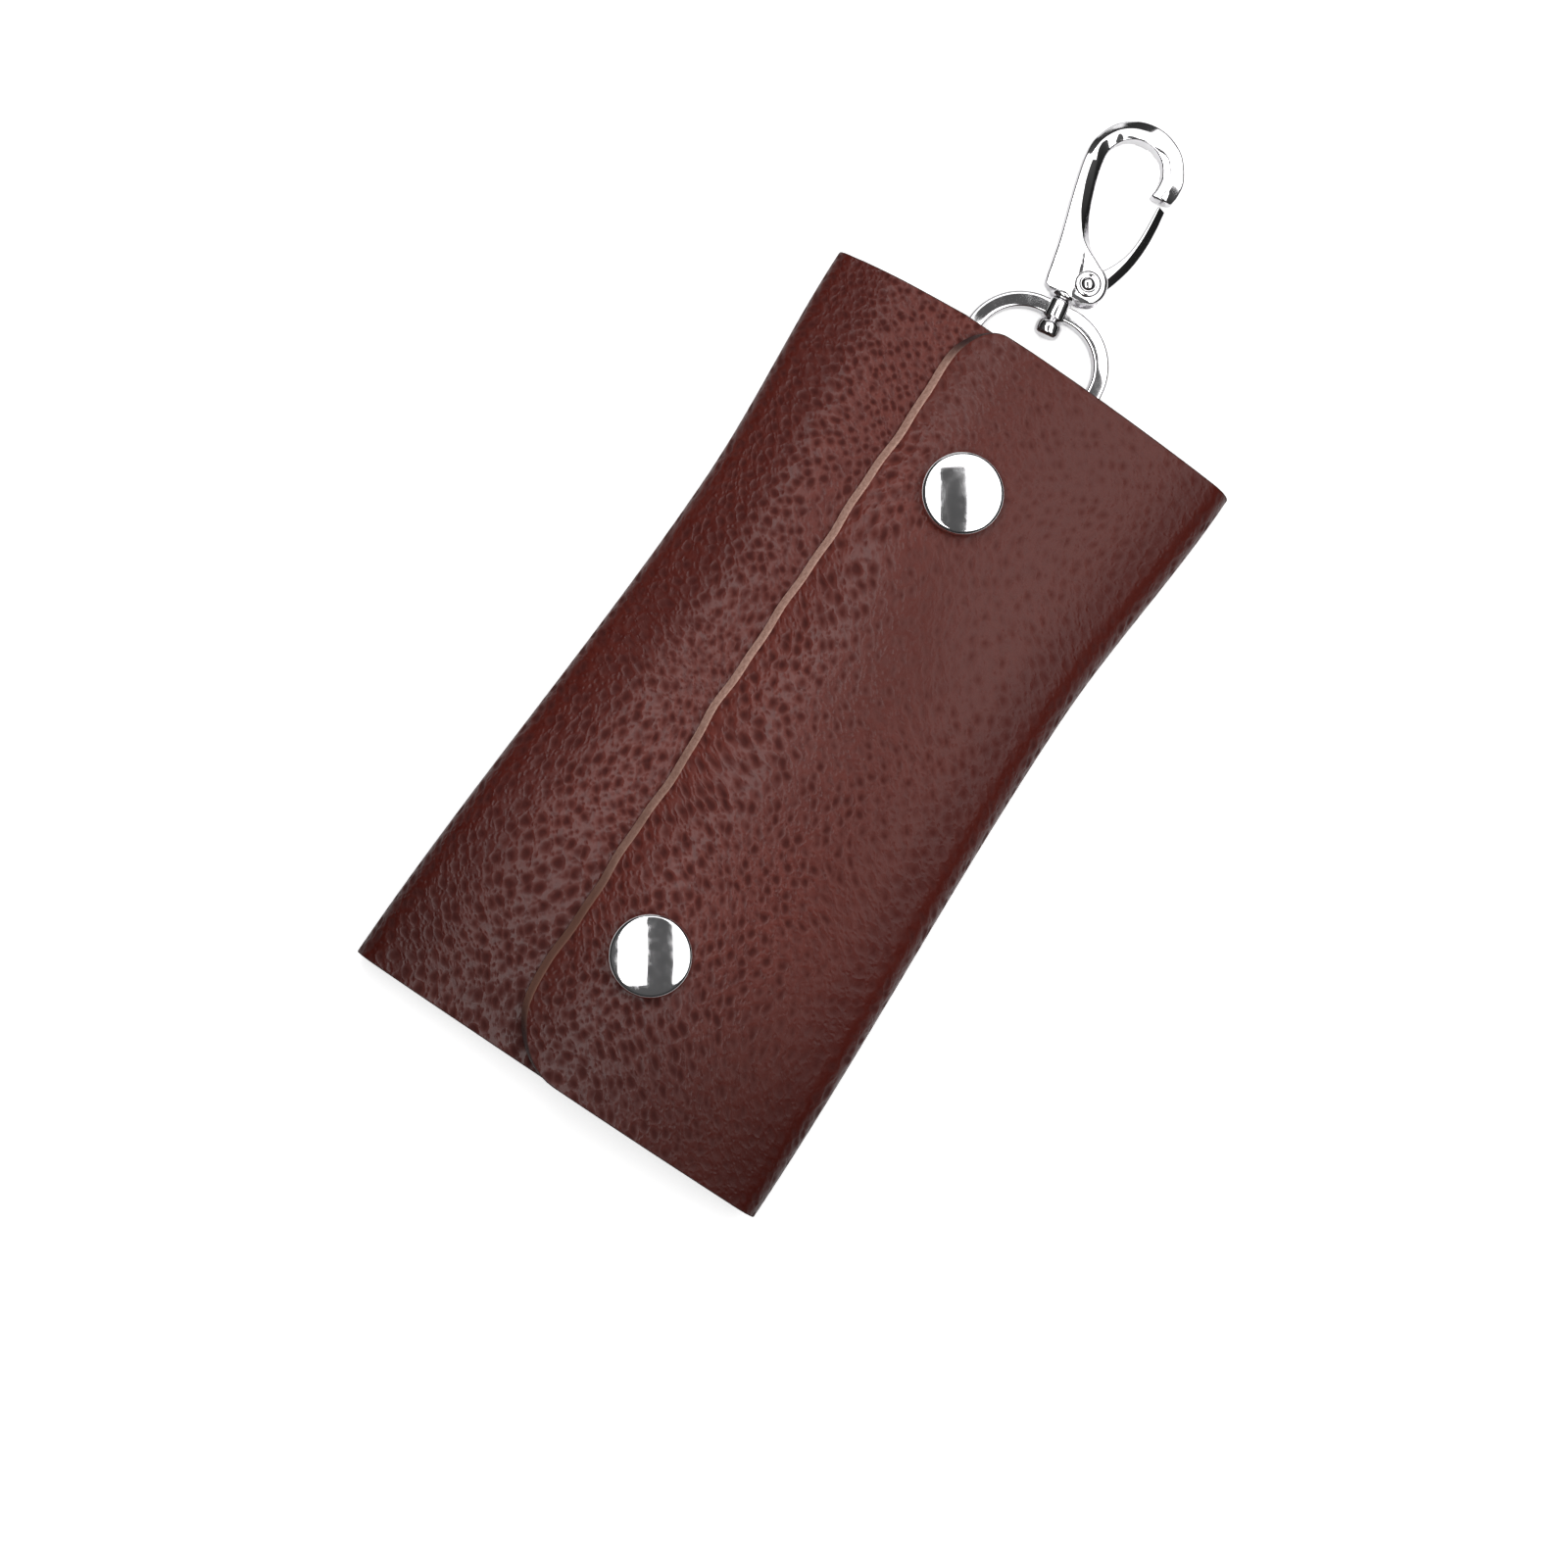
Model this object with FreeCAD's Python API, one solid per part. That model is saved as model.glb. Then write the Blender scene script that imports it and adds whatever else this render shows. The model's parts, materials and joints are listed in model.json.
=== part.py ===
import FreeCAD, Part
import math
import os

# Leather case: a sheet folded in three, lying on its back, widest at the ends and thickest at the waist
case_length = 125.0
leather = 1.4
half_width_bottom = 34.3
waist_pinch = 3.1
top_taper = 0.7
waist_y = 22.0
inner_height_bottom = 8.6
inner_height_waist = 11.6
inner_height_top = 9.0
inner_crown = 1.0
outer_fold_height_bottom = 9.4
outer_fold_height_waist = 12.4
outer_fold_height_top = 9.8
flat_press = 0.05
station_shares = (-0.5, -0.34, -0.18, -0.02, 0.1, 0.2, 0.3, 0.4, 0.5)

# Flaps: where their free edges lie and how far apart they are
outer_edge_x = -12.0
outer_edge_gap = 0.6
outer_top_corner_radius = 6.5
outer_low_corner_radius = 12.0
inner_edge_x = 10.5
inner_corner_radius = 4.0
top_corner_drop = 1.9
crease_angle = 45.0
crease_gap = 0.05

# Snap fasteners
snap_x = 0.45
snap_inset = 23.05
snap_stack = 3.0
cap_radius = 6.0
cap_rim = 0.7
cap_dome = 1.9
cap_seat = 0.25
cap_post_radius = 1.5
cap_post_head_radius = 2.3
cap_post_head = 0.35
socket_radius = 5.0
socket_height = 2.2
socket_wall = 0.5
socket_mouth_radius = 3.6
socket_seat = 0.12
spring_wire_radius = 0.3
spring_gap_angle = 40.0
stud_flange_radius = 4.6
stud_flange = 0.6
stud_knob_radius = 2.9
stud_neck_radius = 2.4
stud_knob_height = 1.45
stud_seat = 0.12
stud_wall = 0.4
post_flange_radius = 4.2
post_flange = 0.6
post_radius = 1.4
post_seat = 0.12
seat_gap = 0.15

# Key plate with a bent-up lip, and its rivets
plate_inset = 28.5
plate_depth = 8.0
plate_thick = 1.0
plate_side_gap = 7.45
plate_end_margin = 4.0
plate_bend_radius = 0.6
lip_margin = 1.3
plate_rivet_radius = 1.3
plate_rivet_head_radius = 2.6
plate_rivet_head = 0.8
rivet_back_head_radius = 2.8
rivet_back_head = 0.45
rivet_recess = 0.05

# Key hooks and their leaf gates
hook_count = 6
hook_rise = 4.4
hook_width = 5.4
hook_thick = 1.4
hook_length = 26.0
hook_limb = 1.3
shank_radius = 0.9
shank_head_radius = 1.6
shank_head = 0.9
shank_collar_radius = 1.5
shank_collar = 1.0
hook_shoulder = 6.4
hook_nose = 6.0
leaf_thick = 0.6
leaf_width = 1.1
leaf_eye_radius = 0.9
leaf_overlap = 1.8
leaf_swing = 6.0

# Leather tab that holds the ring, and its rivet
tab_rivet_inset = 13.5
tab_x = 0.8
tab_width = 12.0
tab_leather = 1.2
tab_reach = 8.5
tab_yaw = 8.5
tab_rivet_radius = 1.5
tab_rivet_head_radius = 3.2
tab_rivet_head = 1.1
tab_slope_gap = 0.5

# D-shaped ring with a swivel boss
ring_wire_radius = 1.2
ring_half_width = 11.3
ring_height = 14.4
ring_corner_radius = 2.4
bow_corner_radius = 8.0
boss_radius = 2.1
boss_half_length = 1.6

# Snap hook: swivel stem, body, gate, pin and spring
stem_radius = 1.05
stem_head_radius = 1.5
collar_radius = 1.7
collar_length = 1.2
body_length = 31.4
body_thick = 4.0
body_tip_thick = 3.0
loop_radius = 7.5
loop_x = 1.6
eye_radius = 4.4
eye_x = 1.3
limb_root_x = -3.4
limb_root_y = 2.7
nose_length = 2.6
nose_lean = 0.5
pivot_x = 2.4
pivot_y = 5.2
pivot_boss_radius = 3.0
eye_floor_y = 9.4
gate_width = 1.8
gate_thick = 2.2
gate_hub_radius = 1.9
gate_tip_gap = 0.15
gate_knee_x = 6.0
gate_knee_y = 7.4
gate_back_x = 8.3
gate_back_y = 14.2
gate_side_gap = 0.1
pin_radius = 0.75
pin_head_radius = 2.0
pin_head = 0.4
leaf_spring_thick = 0.3
leaf_spring_leg = 3.4

# Clearances, overrun of cuts, and the hook tip's height over the surface that the case lies on
run_gap = 0.06
side_gap = 0.15
touch_gap = 0.05
tip_clear = 0.05
overrun = 3.0

V = FreeCAD.Vector
origin = V(0, 0, 0)
axis_x = V(1, 0, 0)
axis_y = V(0, 1, 0)
axis_z = V(0, 0, 1)
half_length = case_length / 2
half_width_waist = half_width_bottom - waist_pinch
half_width_top = half_width_bottom - top_taper
plate_y = half_length - plate_inset
tab_rivet_y = half_length - tab_rivet_inset
far = 2 * case_length
stations = [share * case_length for share in station_shares]
floor_z = leather - flat_press
parts = {}


# Shared shapes
def placed(shape, placement):
    copy = shape.copy()
    copy.Placement = placement.multiply(copy.Placement)
    return copy


def disc(radius, low, high, x=0.0, y=0.0):
    return Part.makeCylinder(radius, high - low, V(x, y, low))


def block(x0, x1, y0, y1, z0, z1):
    return Part.makeBox(x1 - x0, y1 - y0, z1 - z0, V(x0, y0, z0))


def polygon(corners):
    return Part.Face(Part.makePolygon(corners + corners[:1]))


def flat(points, low, high):
    return polygon([V(x, y, low) for x, y in points]).extrude(V(0, 0, high - low))


def turned(points):
    return polygon([V(r, 0, z) for r, z in points]).revolve(origin, axis_z, 360)


def half_space(normal, level):
    box = Part.makeBox(far, far, far, V(-far / 2, -far / 2, 0))
    box.Placement = FreeCAD.Placement(normal * level, FreeCAD.Rotation(axis_z, normal))
    return box


# How the case's section changes along its length: level at the waist and at both ends
def along_case(bottom, waist, top, y):
    end = bottom
    reach = half_length + waist_y
    if y > waist_y:
        end = top
        reach = half_length - waist_y
    s = abs(y - waist_y) / reach
    return waist + (end - waist) * s * s * (3 - 2 * s)


def half_width(y):
    return along_case(half_width_bottom, half_width_waist, half_width_top, y)


def inner_height(y):
    return along_case(inner_height_bottom, inner_height_waist, inner_height_top, y)


def outer_crown(y):
    return inner_height(y) + snap_stack + leather


def fold_radius(side, y):
    if side > 0:
        height = along_case(outer_fold_height_bottom, outer_fold_height_waist, outer_fold_height_top, y)
        return height / 2
    return (inner_height(y) - inner_crown) / 2


def fold_centre(side, y):
    radius = fold_radius(side, y)
    return V(side * (half_width(y) - radius), 0, radius - flat_press)


# Radius of the arc that tops out at a height above the fold and runs into the fold without a kink
def crown_radius(run, height, radius):
    return (run * run + height * height - 2 * height * radius) / (2 * (height - 2 * radius))


def arc_point(y, centre, radius, angle):
    turn = math.radians(angle)
    return V(centre.x + radius * math.cos(turn), y, centre.z + radius * math.sin(turn))


# One face of the sheet in one section: arcs, joined by straight runs, then a straight tail
def sheet_face(y, arcs, depth, tail):
    edges = []
    last = None
    for centre, radius, start, end in arcs:
        middle = (start + end) / 2
        points = [arc_point(y, centre, radius - depth, angle) for angle in (start, middle, end)]
        if last and last.distanceToPoint(points[0]) > crease_gap:
            edges.append(Part.LineSegment(last, points[0]).toShape())
        edges.append(Part.Arc(*points).toShape())
        last = points[-1]
    if tail:
        end_point = last + V(tail, 0, 0)
        edges.append(Part.LineSegment(last, end_point).toShape())
        last = end_point
    first = arc_point(y, arcs[0][0], arcs[0][1] - depth, arcs[0][2])
    return edges, first, last


def sheet_wire(y, arcs, tail=0.0):
    grain, grain_first, grain_last = sheet_face(y, arcs, 0, tail)
    flesh, flesh_first, flesh_last = sheet_face(y, arcs, leather, tail)
    far_edge = Part.LineSegment(grain_last, flesh_last).toShape()
    near_edge = Part.LineSegment(flesh_first, grain_first).toShape()
    return Part.Wire(grain + [far_edge] + flesh[::-1] + [near_edge])


def angle_from(centre, point):
    return math.degrees(math.atan2(point.z - centre.z, point.x - centre.x))


def outer_section(y):
    fold = fold_centre(1, y)
    radius = fold_radius(1, y)
    height = outer_crown(y)
    right_radius = crown_radius(fold.x - snap_x, height, radius)
    right = V(snap_x, 0, height - flat_press - right_radius)
    drop = snap_stack - outer_edge_gap
    run = snap_x - outer_edge_x
    left_radius = (run * run + drop * drop) / (2 * drop) + leather
    left = V(snap_x, 0, height - flat_press - left_radius)
    meet = angle_from(right, fold)
    end = 90 + math.degrees(math.asin((run + overrun) / left_radius))
    arcs = [(fold, radius, -90, meet), (right, right_radius, meet, 90), (left, left_radius, 90, end)]
    return sheet_wire(y, arcs)


def inner_section(y):
    fold = fold_centre(-1, y)
    radius = fold_radius(-1, y)
    height = inner_height(y)
    top_radius = crown_radius(outer_edge_x - fold.x, height, radius)
    top = V(outer_edge_x, 0, height - flat_press - top_radius)
    meet = angle_from(top, fold)
    arcs = [(fold, radius, 270, meet), (top, top_radius, meet, 90)]
    return sheet_wire(y, arcs, inner_edge_x - outer_edge_x + overrun)


def back_section(y):
    left = (fold_centre(-1, y), fold_radius(-1, y), 182, 270)
    right = (fold_centre(1, y), fold_radius(1, y), -90, -2)
    return sheet_wire(y, [left, right])


def sheet(section):
    return Part.makeLoft([section(y) for y in stations], True, False)


# Each fold bends along two straight creases. Their axes lie just outside the leather, so the panels only
# draw apart as the fold opens.
def crease(side, angle):
    turn = math.radians(angle)
    outward = V(side * math.cos(turn), 0, math.sin(turn))
    along = V(-side * math.sin(turn), 0, math.cos(turn))
    levels = [fold_centre(side, y).dot(along) for y in stations]
    level = (min(levels) + max(levels)) / 2
    reaches = []
    for y, own_level in zip(stations, levels):
        chord = math.sqrt(fold_radius(side, y) ** 2 - (own_level - level) ** 2)
        reaches.append(fold_centre(side, y).dot(outward) + chord)
    axis = along * level + outward * (max(reaches) + crease_gap)
    return along, level, axis


def flap_corner(edge_x, side, radius, end_y, inward):
    inset = edge_x + side * radius
    bulge = radius * math.sqrt(0.5)
    arc = Part.Arc(
        V(inset, end_y, 0),
        V(inset - side * bulge, end_y + inward * (radius - bulge), 0),
        V(edge_x, end_y + inward * radius, 0),
    )
    return arc.toShape()


def flap_outline(edge_x, side, top_radius, low_radius):
    low = -half_length
    outside = edge_x + side * far
    top_inset = edge_x + side * top_radius
    low_inset = edge_x + side * low_radius
    edges = [
        Part.LineSegment(V(outside, low, 0), V(low_inset, low, 0)).toShape(),
        flap_corner(edge_x, side, low_radius, low, 1),
        Part.LineSegment(V(edge_x, low + low_radius, 0), V(edge_x, half_length - top_radius, 0)).toShape(),
        flap_corner(edge_x, side, top_radius, half_length, -1),
        Part.LineSegment(V(top_inset, half_length, 0), V(outside, half_length, 0)).toShape(),
        Part.LineSegment(V(outside, half_length, 0), V(outside, low, 0)).toShape(),
    ]
    return Part.Face(Part.Wire(edges)).extrude(V(0, 0, far))


# Snap fasteners, built round their own axis with the outer flap's grain face at zero height
def snap_frame(y):
    probe = leather
    slope = (outer_crown(y + probe) - outer_crown(y - probe)) / (2 * probe)
    tilt = FreeCAD.Rotation(axis_x, math.degrees(math.atan(slope)))
    return FreeCAD.Placement(V(snap_x, y, outer_crown(y) - flat_press), tilt)


socket_top = socket_seat - leather
socket_bottom = socket_top - socket_height
socket_ceiling = socket_top - socket_wall
post_head_low = socket_ceiling - cap_post_head
inner_face = -leather - snap_stack
stud_low = inner_face - stud_seat
stud_flange_top = stud_low + stud_flange
knob_top = stud_flange_top + stud_knob_height
knob_middle = (stud_flange_top + knob_top) / 2
post_high = knob_top - stud_wall
post_flange_top = inner_face - leather + post_seat
groove_radius = socket_mouth_radius + spring_wire_radius
groove_middle = (socket_ceiling + socket_bottom) / 2
groove_half = spring_wire_radius + touch_gap


def snap_cap():
    stem = [
        (0, post_head_low),
        (cap_post_head_radius, post_head_low),
        (cap_post_head_radius, socket_ceiling),
        (cap_post_radius, socket_ceiling),
        (cap_post_radius, -cap_seat),
        (cap_radius, -cap_seat),
        (cap_radius, cap_rim),
    ]
    dome_radius = (cap_radius ** 2 + cap_dome ** 2) / (2 * cap_dome)
    half_turn = math.asin(cap_radius / dome_radius) / 2
    crown = cap_rim + cap_dome
    shoulder = V(dome_radius * math.sin(half_turn), 0, crown - dome_radius * (1 - math.cos(half_turn)))
    points = [V(r, 0, z) for r, z in stem]
    edges = [Part.LineSegment(a, b).toShape() for a, b in zip(points, points[1:])]
    edges.append(Part.Arc(points[-1], shoulder, V(0, 0, crown)).toShape())
    edges.append(Part.LineSegment(V(0, 0, crown), points[0]).toShape())
    return Part.Face(Part.Wire(edges)).revolve(origin, axis_z, 360)


def snap_socket():
    hole = cap_post_radius + touch_gap
    return turned([
        (hole, socket_top),
        (socket_radius, socket_top),
        (socket_radius, socket_bottom),
        (socket_mouth_radius, socket_bottom),
        (socket_mouth_radius, groove_middle - groove_half),
        (groove_radius, groove_middle - groove_half),
        (groove_radius, groove_middle + groove_half),
        (socket_mouth_radius, groove_middle + groove_half),
        (socket_mouth_radius, socket_ceiling),
        (hole, socket_ceiling),
    ])


def snap_spring():
    centre = V(groove_radius - touch_gap - spring_wire_radius, 0, groove_middle)
    wire = Part.Wire(Part.makeCircle(spring_wire_radius, centre, axis_y))
    return Part.Face(wire).revolve(origin, axis_z, 360 - spring_gap_angle)


def snap_stud():
    hole = post_radius + touch_gap
    return turned([
        (hole, stud_low),
        (stud_flange_radius, stud_low),
        (stud_flange_radius, stud_flange_top),
        (stud_neck_radius, stud_flange_top),
        (stud_neck_radius, knob_middle),
        (stud_knob_radius, (knob_middle + knob_top) / 2),
        (stud_neck_radius, knob_top),
        (0, knob_top),
        (0, post_high + touch_gap),
        (hole, post_high + touch_gap),
    ])


def snap_post():
    flange = disc(post_flange_radius, post_flange_top - post_flange, post_flange_top)
    return flange.fuse(disc(post_radius, post_flange_top, post_high)).removeSplitter()


def outer_snap_cuts():
    cap_bed = disc(cap_radius + seat_gap, -cap_seat, overrun)
    socket_bed = disc(socket_radius + seat_gap, socket_top - overrun, socket_top)
    hole = disc(cap_post_radius + touch_gap, socket_top - overrun, overrun)
    return cap_bed.fuse([socket_bed, hole])


def inner_snap_cuts():
    stud_bed = disc(stud_flange_radius + seat_gap, stud_low, stud_low + overrun)
    post_bed = disc(post_flange_radius + seat_gap, post_flange_top - overrun, post_flange_top)
    hole = disc(post_radius + touch_gap, post_flange_top - overrun, stud_low + overrun)
    return stud_bed.fuse([post_bed, hole])


# Leather panels
outer_lower = crease(1, -crease_angle)
outer_upper = crease(1, crease_angle)
inner_lower = crease(-1, -crease_angle)
inner_upper = crease(-1, crease_angle)
snap_y = half_length - snap_inset
snap_places = {"upper": snap_y, "lower": -snap_y}
snap_frames = {name: snap_frame(y) for name, y in snap_places.items()}

outer_sheet = sheet(outer_section)
inner_sheet = sheet(inner_section)
back_sheet = sheet(back_section)
above_floor = half_space(axis_z, 0)
drop_run = half_width_top + outer_edge_x + overrun
drop_depth = top_corner_drop * drop_run / (half_width_top + outer_edge_x)
corner_cut = flat(
    [
        (outer_edge_x, half_length),
        (outer_edge_x - drop_run, half_length - drop_depth),
        (outer_edge_x - drop_run, half_length + overrun),
        (outer_edge_x, half_length + overrun),
    ],
    -overrun,
    far,
)

outer_flap = outer_sheet.common(half_space(outer_upper[0], outer_upper[1]))
outer_outline = flap_outline(outer_edge_x, 1, outer_top_corner_radius, outer_low_corner_radius)
inner_outline = flap_outline(inner_edge_x, -1, inner_corner_radius, inner_corner_radius)
outer_flap = outer_flap.common(outer_outline)
inner_flap = inner_sheet.common(half_space(inner_upper[0], inner_upper[1]))
inner_flap = inner_flap.common(inner_outline).cut(corner_cut)
for frame in snap_frames.values():
    outer_flap = outer_flap.cut(placed(outer_snap_cuts(), frame))
    inner_flap = inner_flap.cut(placed(inner_snap_cuts(), frame))
outer_spine = outer_sheet.common(half_space(outer_lower[0], outer_lower[1]))
outer_spine = outer_spine.cut(half_space(outer_upper[0], outer_upper[1]))
inner_spine = inner_sheet.common(half_space(inner_lower[0], inner_lower[1]))
inner_spine = inner_spine.cut(half_space(inner_upper[0], inner_upper[1])).cut(corner_cut)
back_panel = back_sheet.cut(half_space(outer_lower[0], outer_lower[1]))
back_panel = back_panel.cut(half_space(inner_lower[0], inner_lower[1]))
back_panel = back_panel.common(above_floor).cut(corner_cut)
parts["outer_flap"] = outer_flap
parts["inner_flap"] = inner_flap
parts["outer_spine"] = outer_spine
parts["inner_spine"] = inner_spine

for name, frame in snap_frames.items():
    parts[name + "_snap_cap"] = placed(snap_cap(), frame)
    parts[name + "_snap_socket"] = placed(snap_socket(), frame)
    parts[name + "_snap_spring"] = placed(snap_spring(), frame)
    parts[name + "_snap_stud"] = placed(snap_stud(), frame)
    parts[name + "_snap_post"] = placed(snap_post(), frame)


# Rivet through the back: its flush head lies in a recess of the back's outer face
def rivet(radius, head_radius, head, seat_z, x, y):
    back_head = disc(rivet_back_head_radius, rivet_recess, rivet_recess + rivet_back_head, x, y)
    shank = disc(radius, rivet_recess, seat_z, x, y)
    front_head = disc(head_radius, seat_z, seat_z + head, x, y)
    return back_head.fuse([shank, front_head]).removeSplitter()


def rivet_cuts(radius, x, y):
    recess = disc(rivet_back_head_radius + touch_gap, -overrun, rivet_recess + rivet_back_head, x, y)
    return recess.fuse(disc(radius + touch_gap, -overrun, leather + overrun, x, y))


# Key plate: a strip on the back with a lip bent up square, one hole in the lip for each hook
plate_half = half_width_waist - plate_side_gap
hook_pitch = 2 * (plate_half - plate_end_margin) / (hook_count - 1)
hook_places = [(i - (hook_count - 1) / 2) * hook_pitch for i in range(hook_count)]
hook_axis_z = floor_z + hook_rise
plate_top = floor_z + plate_thick
lip_top = hook_axis_z + shank_radius + run_gap + lip_margin
plate_rivet_y = plate_y + plate_thick + (plate_depth - plate_thick) / 2
plate_rivet_x = hook_places[-1] - plate_rivet_head_radius / 2
plate_rivets = {"left": -plate_rivet_x, "right": plate_rivet_x}

base = block(-plate_half, plate_half, plate_y, plate_y + plate_depth, floor_z, plate_top)
lip = block(-plate_half, plate_half, plate_y, plate_y + plate_thick, floor_z, lip_top)
key_plate = base.fuse(lip).removeSplitter()
bend_edges = []
for edge in key_plate.Edges:
    middle = edge.CenterOfMass
    inside = abs(middle.y - plate_y - plate_thick) + abs(middle.z - plate_top) < touch_gap
    outside = abs(middle.y - plate_y) + abs(middle.z - floor_z) < touch_gap
    if abs(middle.x) < touch_gap and (inside or outside):
        bend_edges.append(edge)
key_plate = key_plate.makeFillet(plate_bend_radius, bend_edges)
for x in hook_places:
    hole = Part.makeCylinder(
        shank_radius + run_gap, plate_thick + 2 * overrun, V(x, plate_y - overrun, hook_axis_z), axis_y
    )
    key_plate = key_plate.cut(hole)
for side, x in plate_rivets.items():
    rivet_hole = disc(plate_rivet_radius + touch_gap, -overrun, plate_top + overrun, x, plate_rivet_y)
    key_plate = key_plate.cut(rivet_hole)
    back_panel = back_panel.cut(rivet_cuts(plate_rivet_radius, x, plate_rivet_y))
    parts[side + "_plate_rivet"] = rivet(
        plate_rivet_radius, plate_rivet_head_radius, plate_rivet_head, plate_top, x, plate_rivet_y
    )
parts["key_plate"] = key_plate


# Key hook, built round its shank's axis with the lip's outer face at zero and the hook towards -y
def capsule(half, low, high, z0, z1):
    body = block(-half, half, low + half, high - half, z0, z1)
    return body.fuse([disc(half, z0, z1, 0, low + half), disc(half, z0, z1, 0, high - half)])


leaf_x = hook_width / 2 - hook_limb - side_gap - leaf_thick / 2
hook_low = -side_gap - shank_collar - hook_length
shoulder_low = -side_gap - shank_collar - hook_shoulder
leaf_eye_y = shoulder_low + leaf_eye_radius + run_gap + hook_limb / 2
nose_top = hook_low + hook_nose
leaf_low = nose_top - leaf_overlap
hook_eye_half = hook_width / 2 - hook_limb


def key_hook():
    half = hook_width / 2
    low = -hook_thick / 2
    high = hook_thick / 2
    plate_high = -side_gap - shank_collar
    body = capsule(half, hook_low, plate_high, low, high)
    shank_low = plate_high - half
    head_low = plate_thick + side_gap
    shank = Part.makeCylinder(shank_radius, head_low - shank_low, V(0, shank_low, 0), axis_y)
    collar = Part.makeCylinder(shank_collar_radius, half + shank_collar, V(0, shank_low, 0), axis_y)
    head = Part.makeCylinder(shank_head_radius, shank_head, V(0, head_low, 0), axis_y)
    body = body.fuse([shank, collar, head])
    eye = capsule(hook_eye_half, hook_low + hook_limb, shoulder_low, low - overrun, high + overrun)
    mouth = block(0, hook_width, nose_top, shoulder_low - hook_eye_half, low - overrun, high + overrun)
    socket = disc(leaf_eye_radius + run_gap, low - overrun, high + overrun, leaf_x, leaf_eye_y)
    swing_room = (leaf_eye_y - shoulder_low + hook_eye_half) * math.tan(math.radians(leaf_swing))
    throat = block(
        leaf_x - leaf_thick / 2 - swing_room,
        leaf_x + leaf_thick / 2 + run_gap,
        shoulder_low - hook_eye_half,
        leaf_eye_y,
        low - overrun,
        high + overrun,
    )
    return body.cut(eye.fuse([mouth, socket, throat])).removeSplitter()


def leaf_gate():
    low = -leaf_width / 2
    high = leaf_width / 2
    strip = block(leaf_x - leaf_thick / 2, leaf_x + leaf_thick / 2, leaf_low, leaf_eye_y, low, high)
    return strip.fuse(disc(leaf_eye_radius, low, high, leaf_x, leaf_eye_y)).removeSplitter()


for number, x in enumerate(hook_places, 1):
    frame = FreeCAD.Placement(V(x, plate_y, hook_axis_z), FreeCAD.Rotation())
    parts[f"key_hook_{number}"] = placed(key_hook(), frame)
    parts[f"key_hook_gate_{number}"] = placed(leaf_gate(), frame)

# Ring tab: a strap doubled round the ring's bar, its two ends under one rivet
tab_low = floor_z + touch_gap
tab_double = tab_low + 2 * tab_leather
loop_inner = ring_wire_radius + run_gap
loop_outer = loop_inner + tab_leather
bar_z = tab_low + tab_leather + loop_inner
tab_half = tab_width / 2
slope_start = tab_rivet_head_radius + tab_slope_gap


def ring_tab():
    lower = block(-tab_half, tab_half, 0, tab_reach, tab_low, tab_low + tab_leather)
    doubled = block(-tab_half, tab_half, 0, slope_start, tab_low, tab_double)
    round_end = disc(tab_half, tab_low, tab_double)
    bar_end = V(-tab_half, tab_reach, bar_z)
    loop = Part.makeCylinder(loop_outer, tab_width, bar_end, axis_x)
    loop = loop.cut(block(-tab_width, tab_width, -far, tab_reach, -far, far))
    slope = polygon([
        V(-tab_half, slope_start, tab_low + tab_leather),
        V(-tab_half, slope_start, tab_double),
        V(-tab_half, tab_reach, bar_z + loop_outer),
        V(-tab_half, tab_reach, bar_z + loop_inner),
    ]).extrude(V(tab_width, 0, 0))
    strap = lower.fuse([doubled, round_end, loop, slope]).removeSplitter()
    bar_bore = Part.makeCylinder(loop_inner, tab_width, bar_end, axis_x)
    rivet_bore = disc(tab_rivet_radius + run_gap, -overrun, tab_double + overrun)
    return strap.cut(bar_bore).cut(rivet_bore)


tab_frame = FreeCAD.Placement(V(tab_x, tab_rivet_y, 0), FreeCAD.Rotation(axis_z, tab_yaw))
parts["ring_tab"] = placed(ring_tab(), tab_frame)
back_panel = back_panel.cut(rivet_cuts(tab_rivet_radius, tab_x, tab_rivet_y))
parts["tab_rivet"] = rivet(
    tab_rivet_radius, tab_rivet_head_radius, tab_rivet_head, tab_double + touch_gap, tab_x, tab_rivet_y
)
parts["back_panel"] = back_panel

# D-shaped ring, in a frame whose x axis is its bar and whose y axis is the swivel's axis
leg_x = ring_half_width - ring_wire_radius
boss_y = ring_height
foot_x = leg_x - ring_corner_radius
bow_x = leg_x - bow_corner_radius
leg_top = boss_y - bow_corner_radius


def wire_run(start, end):
    return Part.makeCylinder(ring_wire_radius, (end - start).Length, start, end - start)


def wire_bend(centre, start, turn):
    circle = Part.Wire(Part.makeCircle(ring_wire_radius, start, (start - centre).cross(axis_z)))
    return Part.Face(circle).revolve(centre, axis_z, turn)


def d_ring():
    ring = wire_run(V(-foot_x, 0, 0), V(foot_x, 0, 0))
    pieces = [wire_run(V(-bow_x, boss_y, 0), V(bow_x, boss_y, 0))]
    for side in (-1, 1):
        pieces.append(wire_bend(V(side * foot_x, ring_corner_radius, 0), V(side * foot_x, 0, 0), side * 90))
        pieces.append(wire_run(V(side * leg_x, ring_corner_radius, 0), V(side * leg_x, leg_top, 0)))
        pieces.append(wire_bend(V(side * bow_x, leg_top, 0), V(side * leg_x, leg_top, 0), side * 90))
    ring = ring.fuse(pieces)
    boss = Part.makeCylinder(boss_radius, 2 * boss_half_length, V(0, boss_y - boss_half_length, 0), axis_y)
    bore_half = boss_half_length + overrun
    bore = Part.makeCylinder(stem_radius + run_gap, 2 * bore_half, V(0, boss_y - bore_half, 0), axis_y)
    return ring.fuse(boss).cut(bore).removeSplitter()


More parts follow.
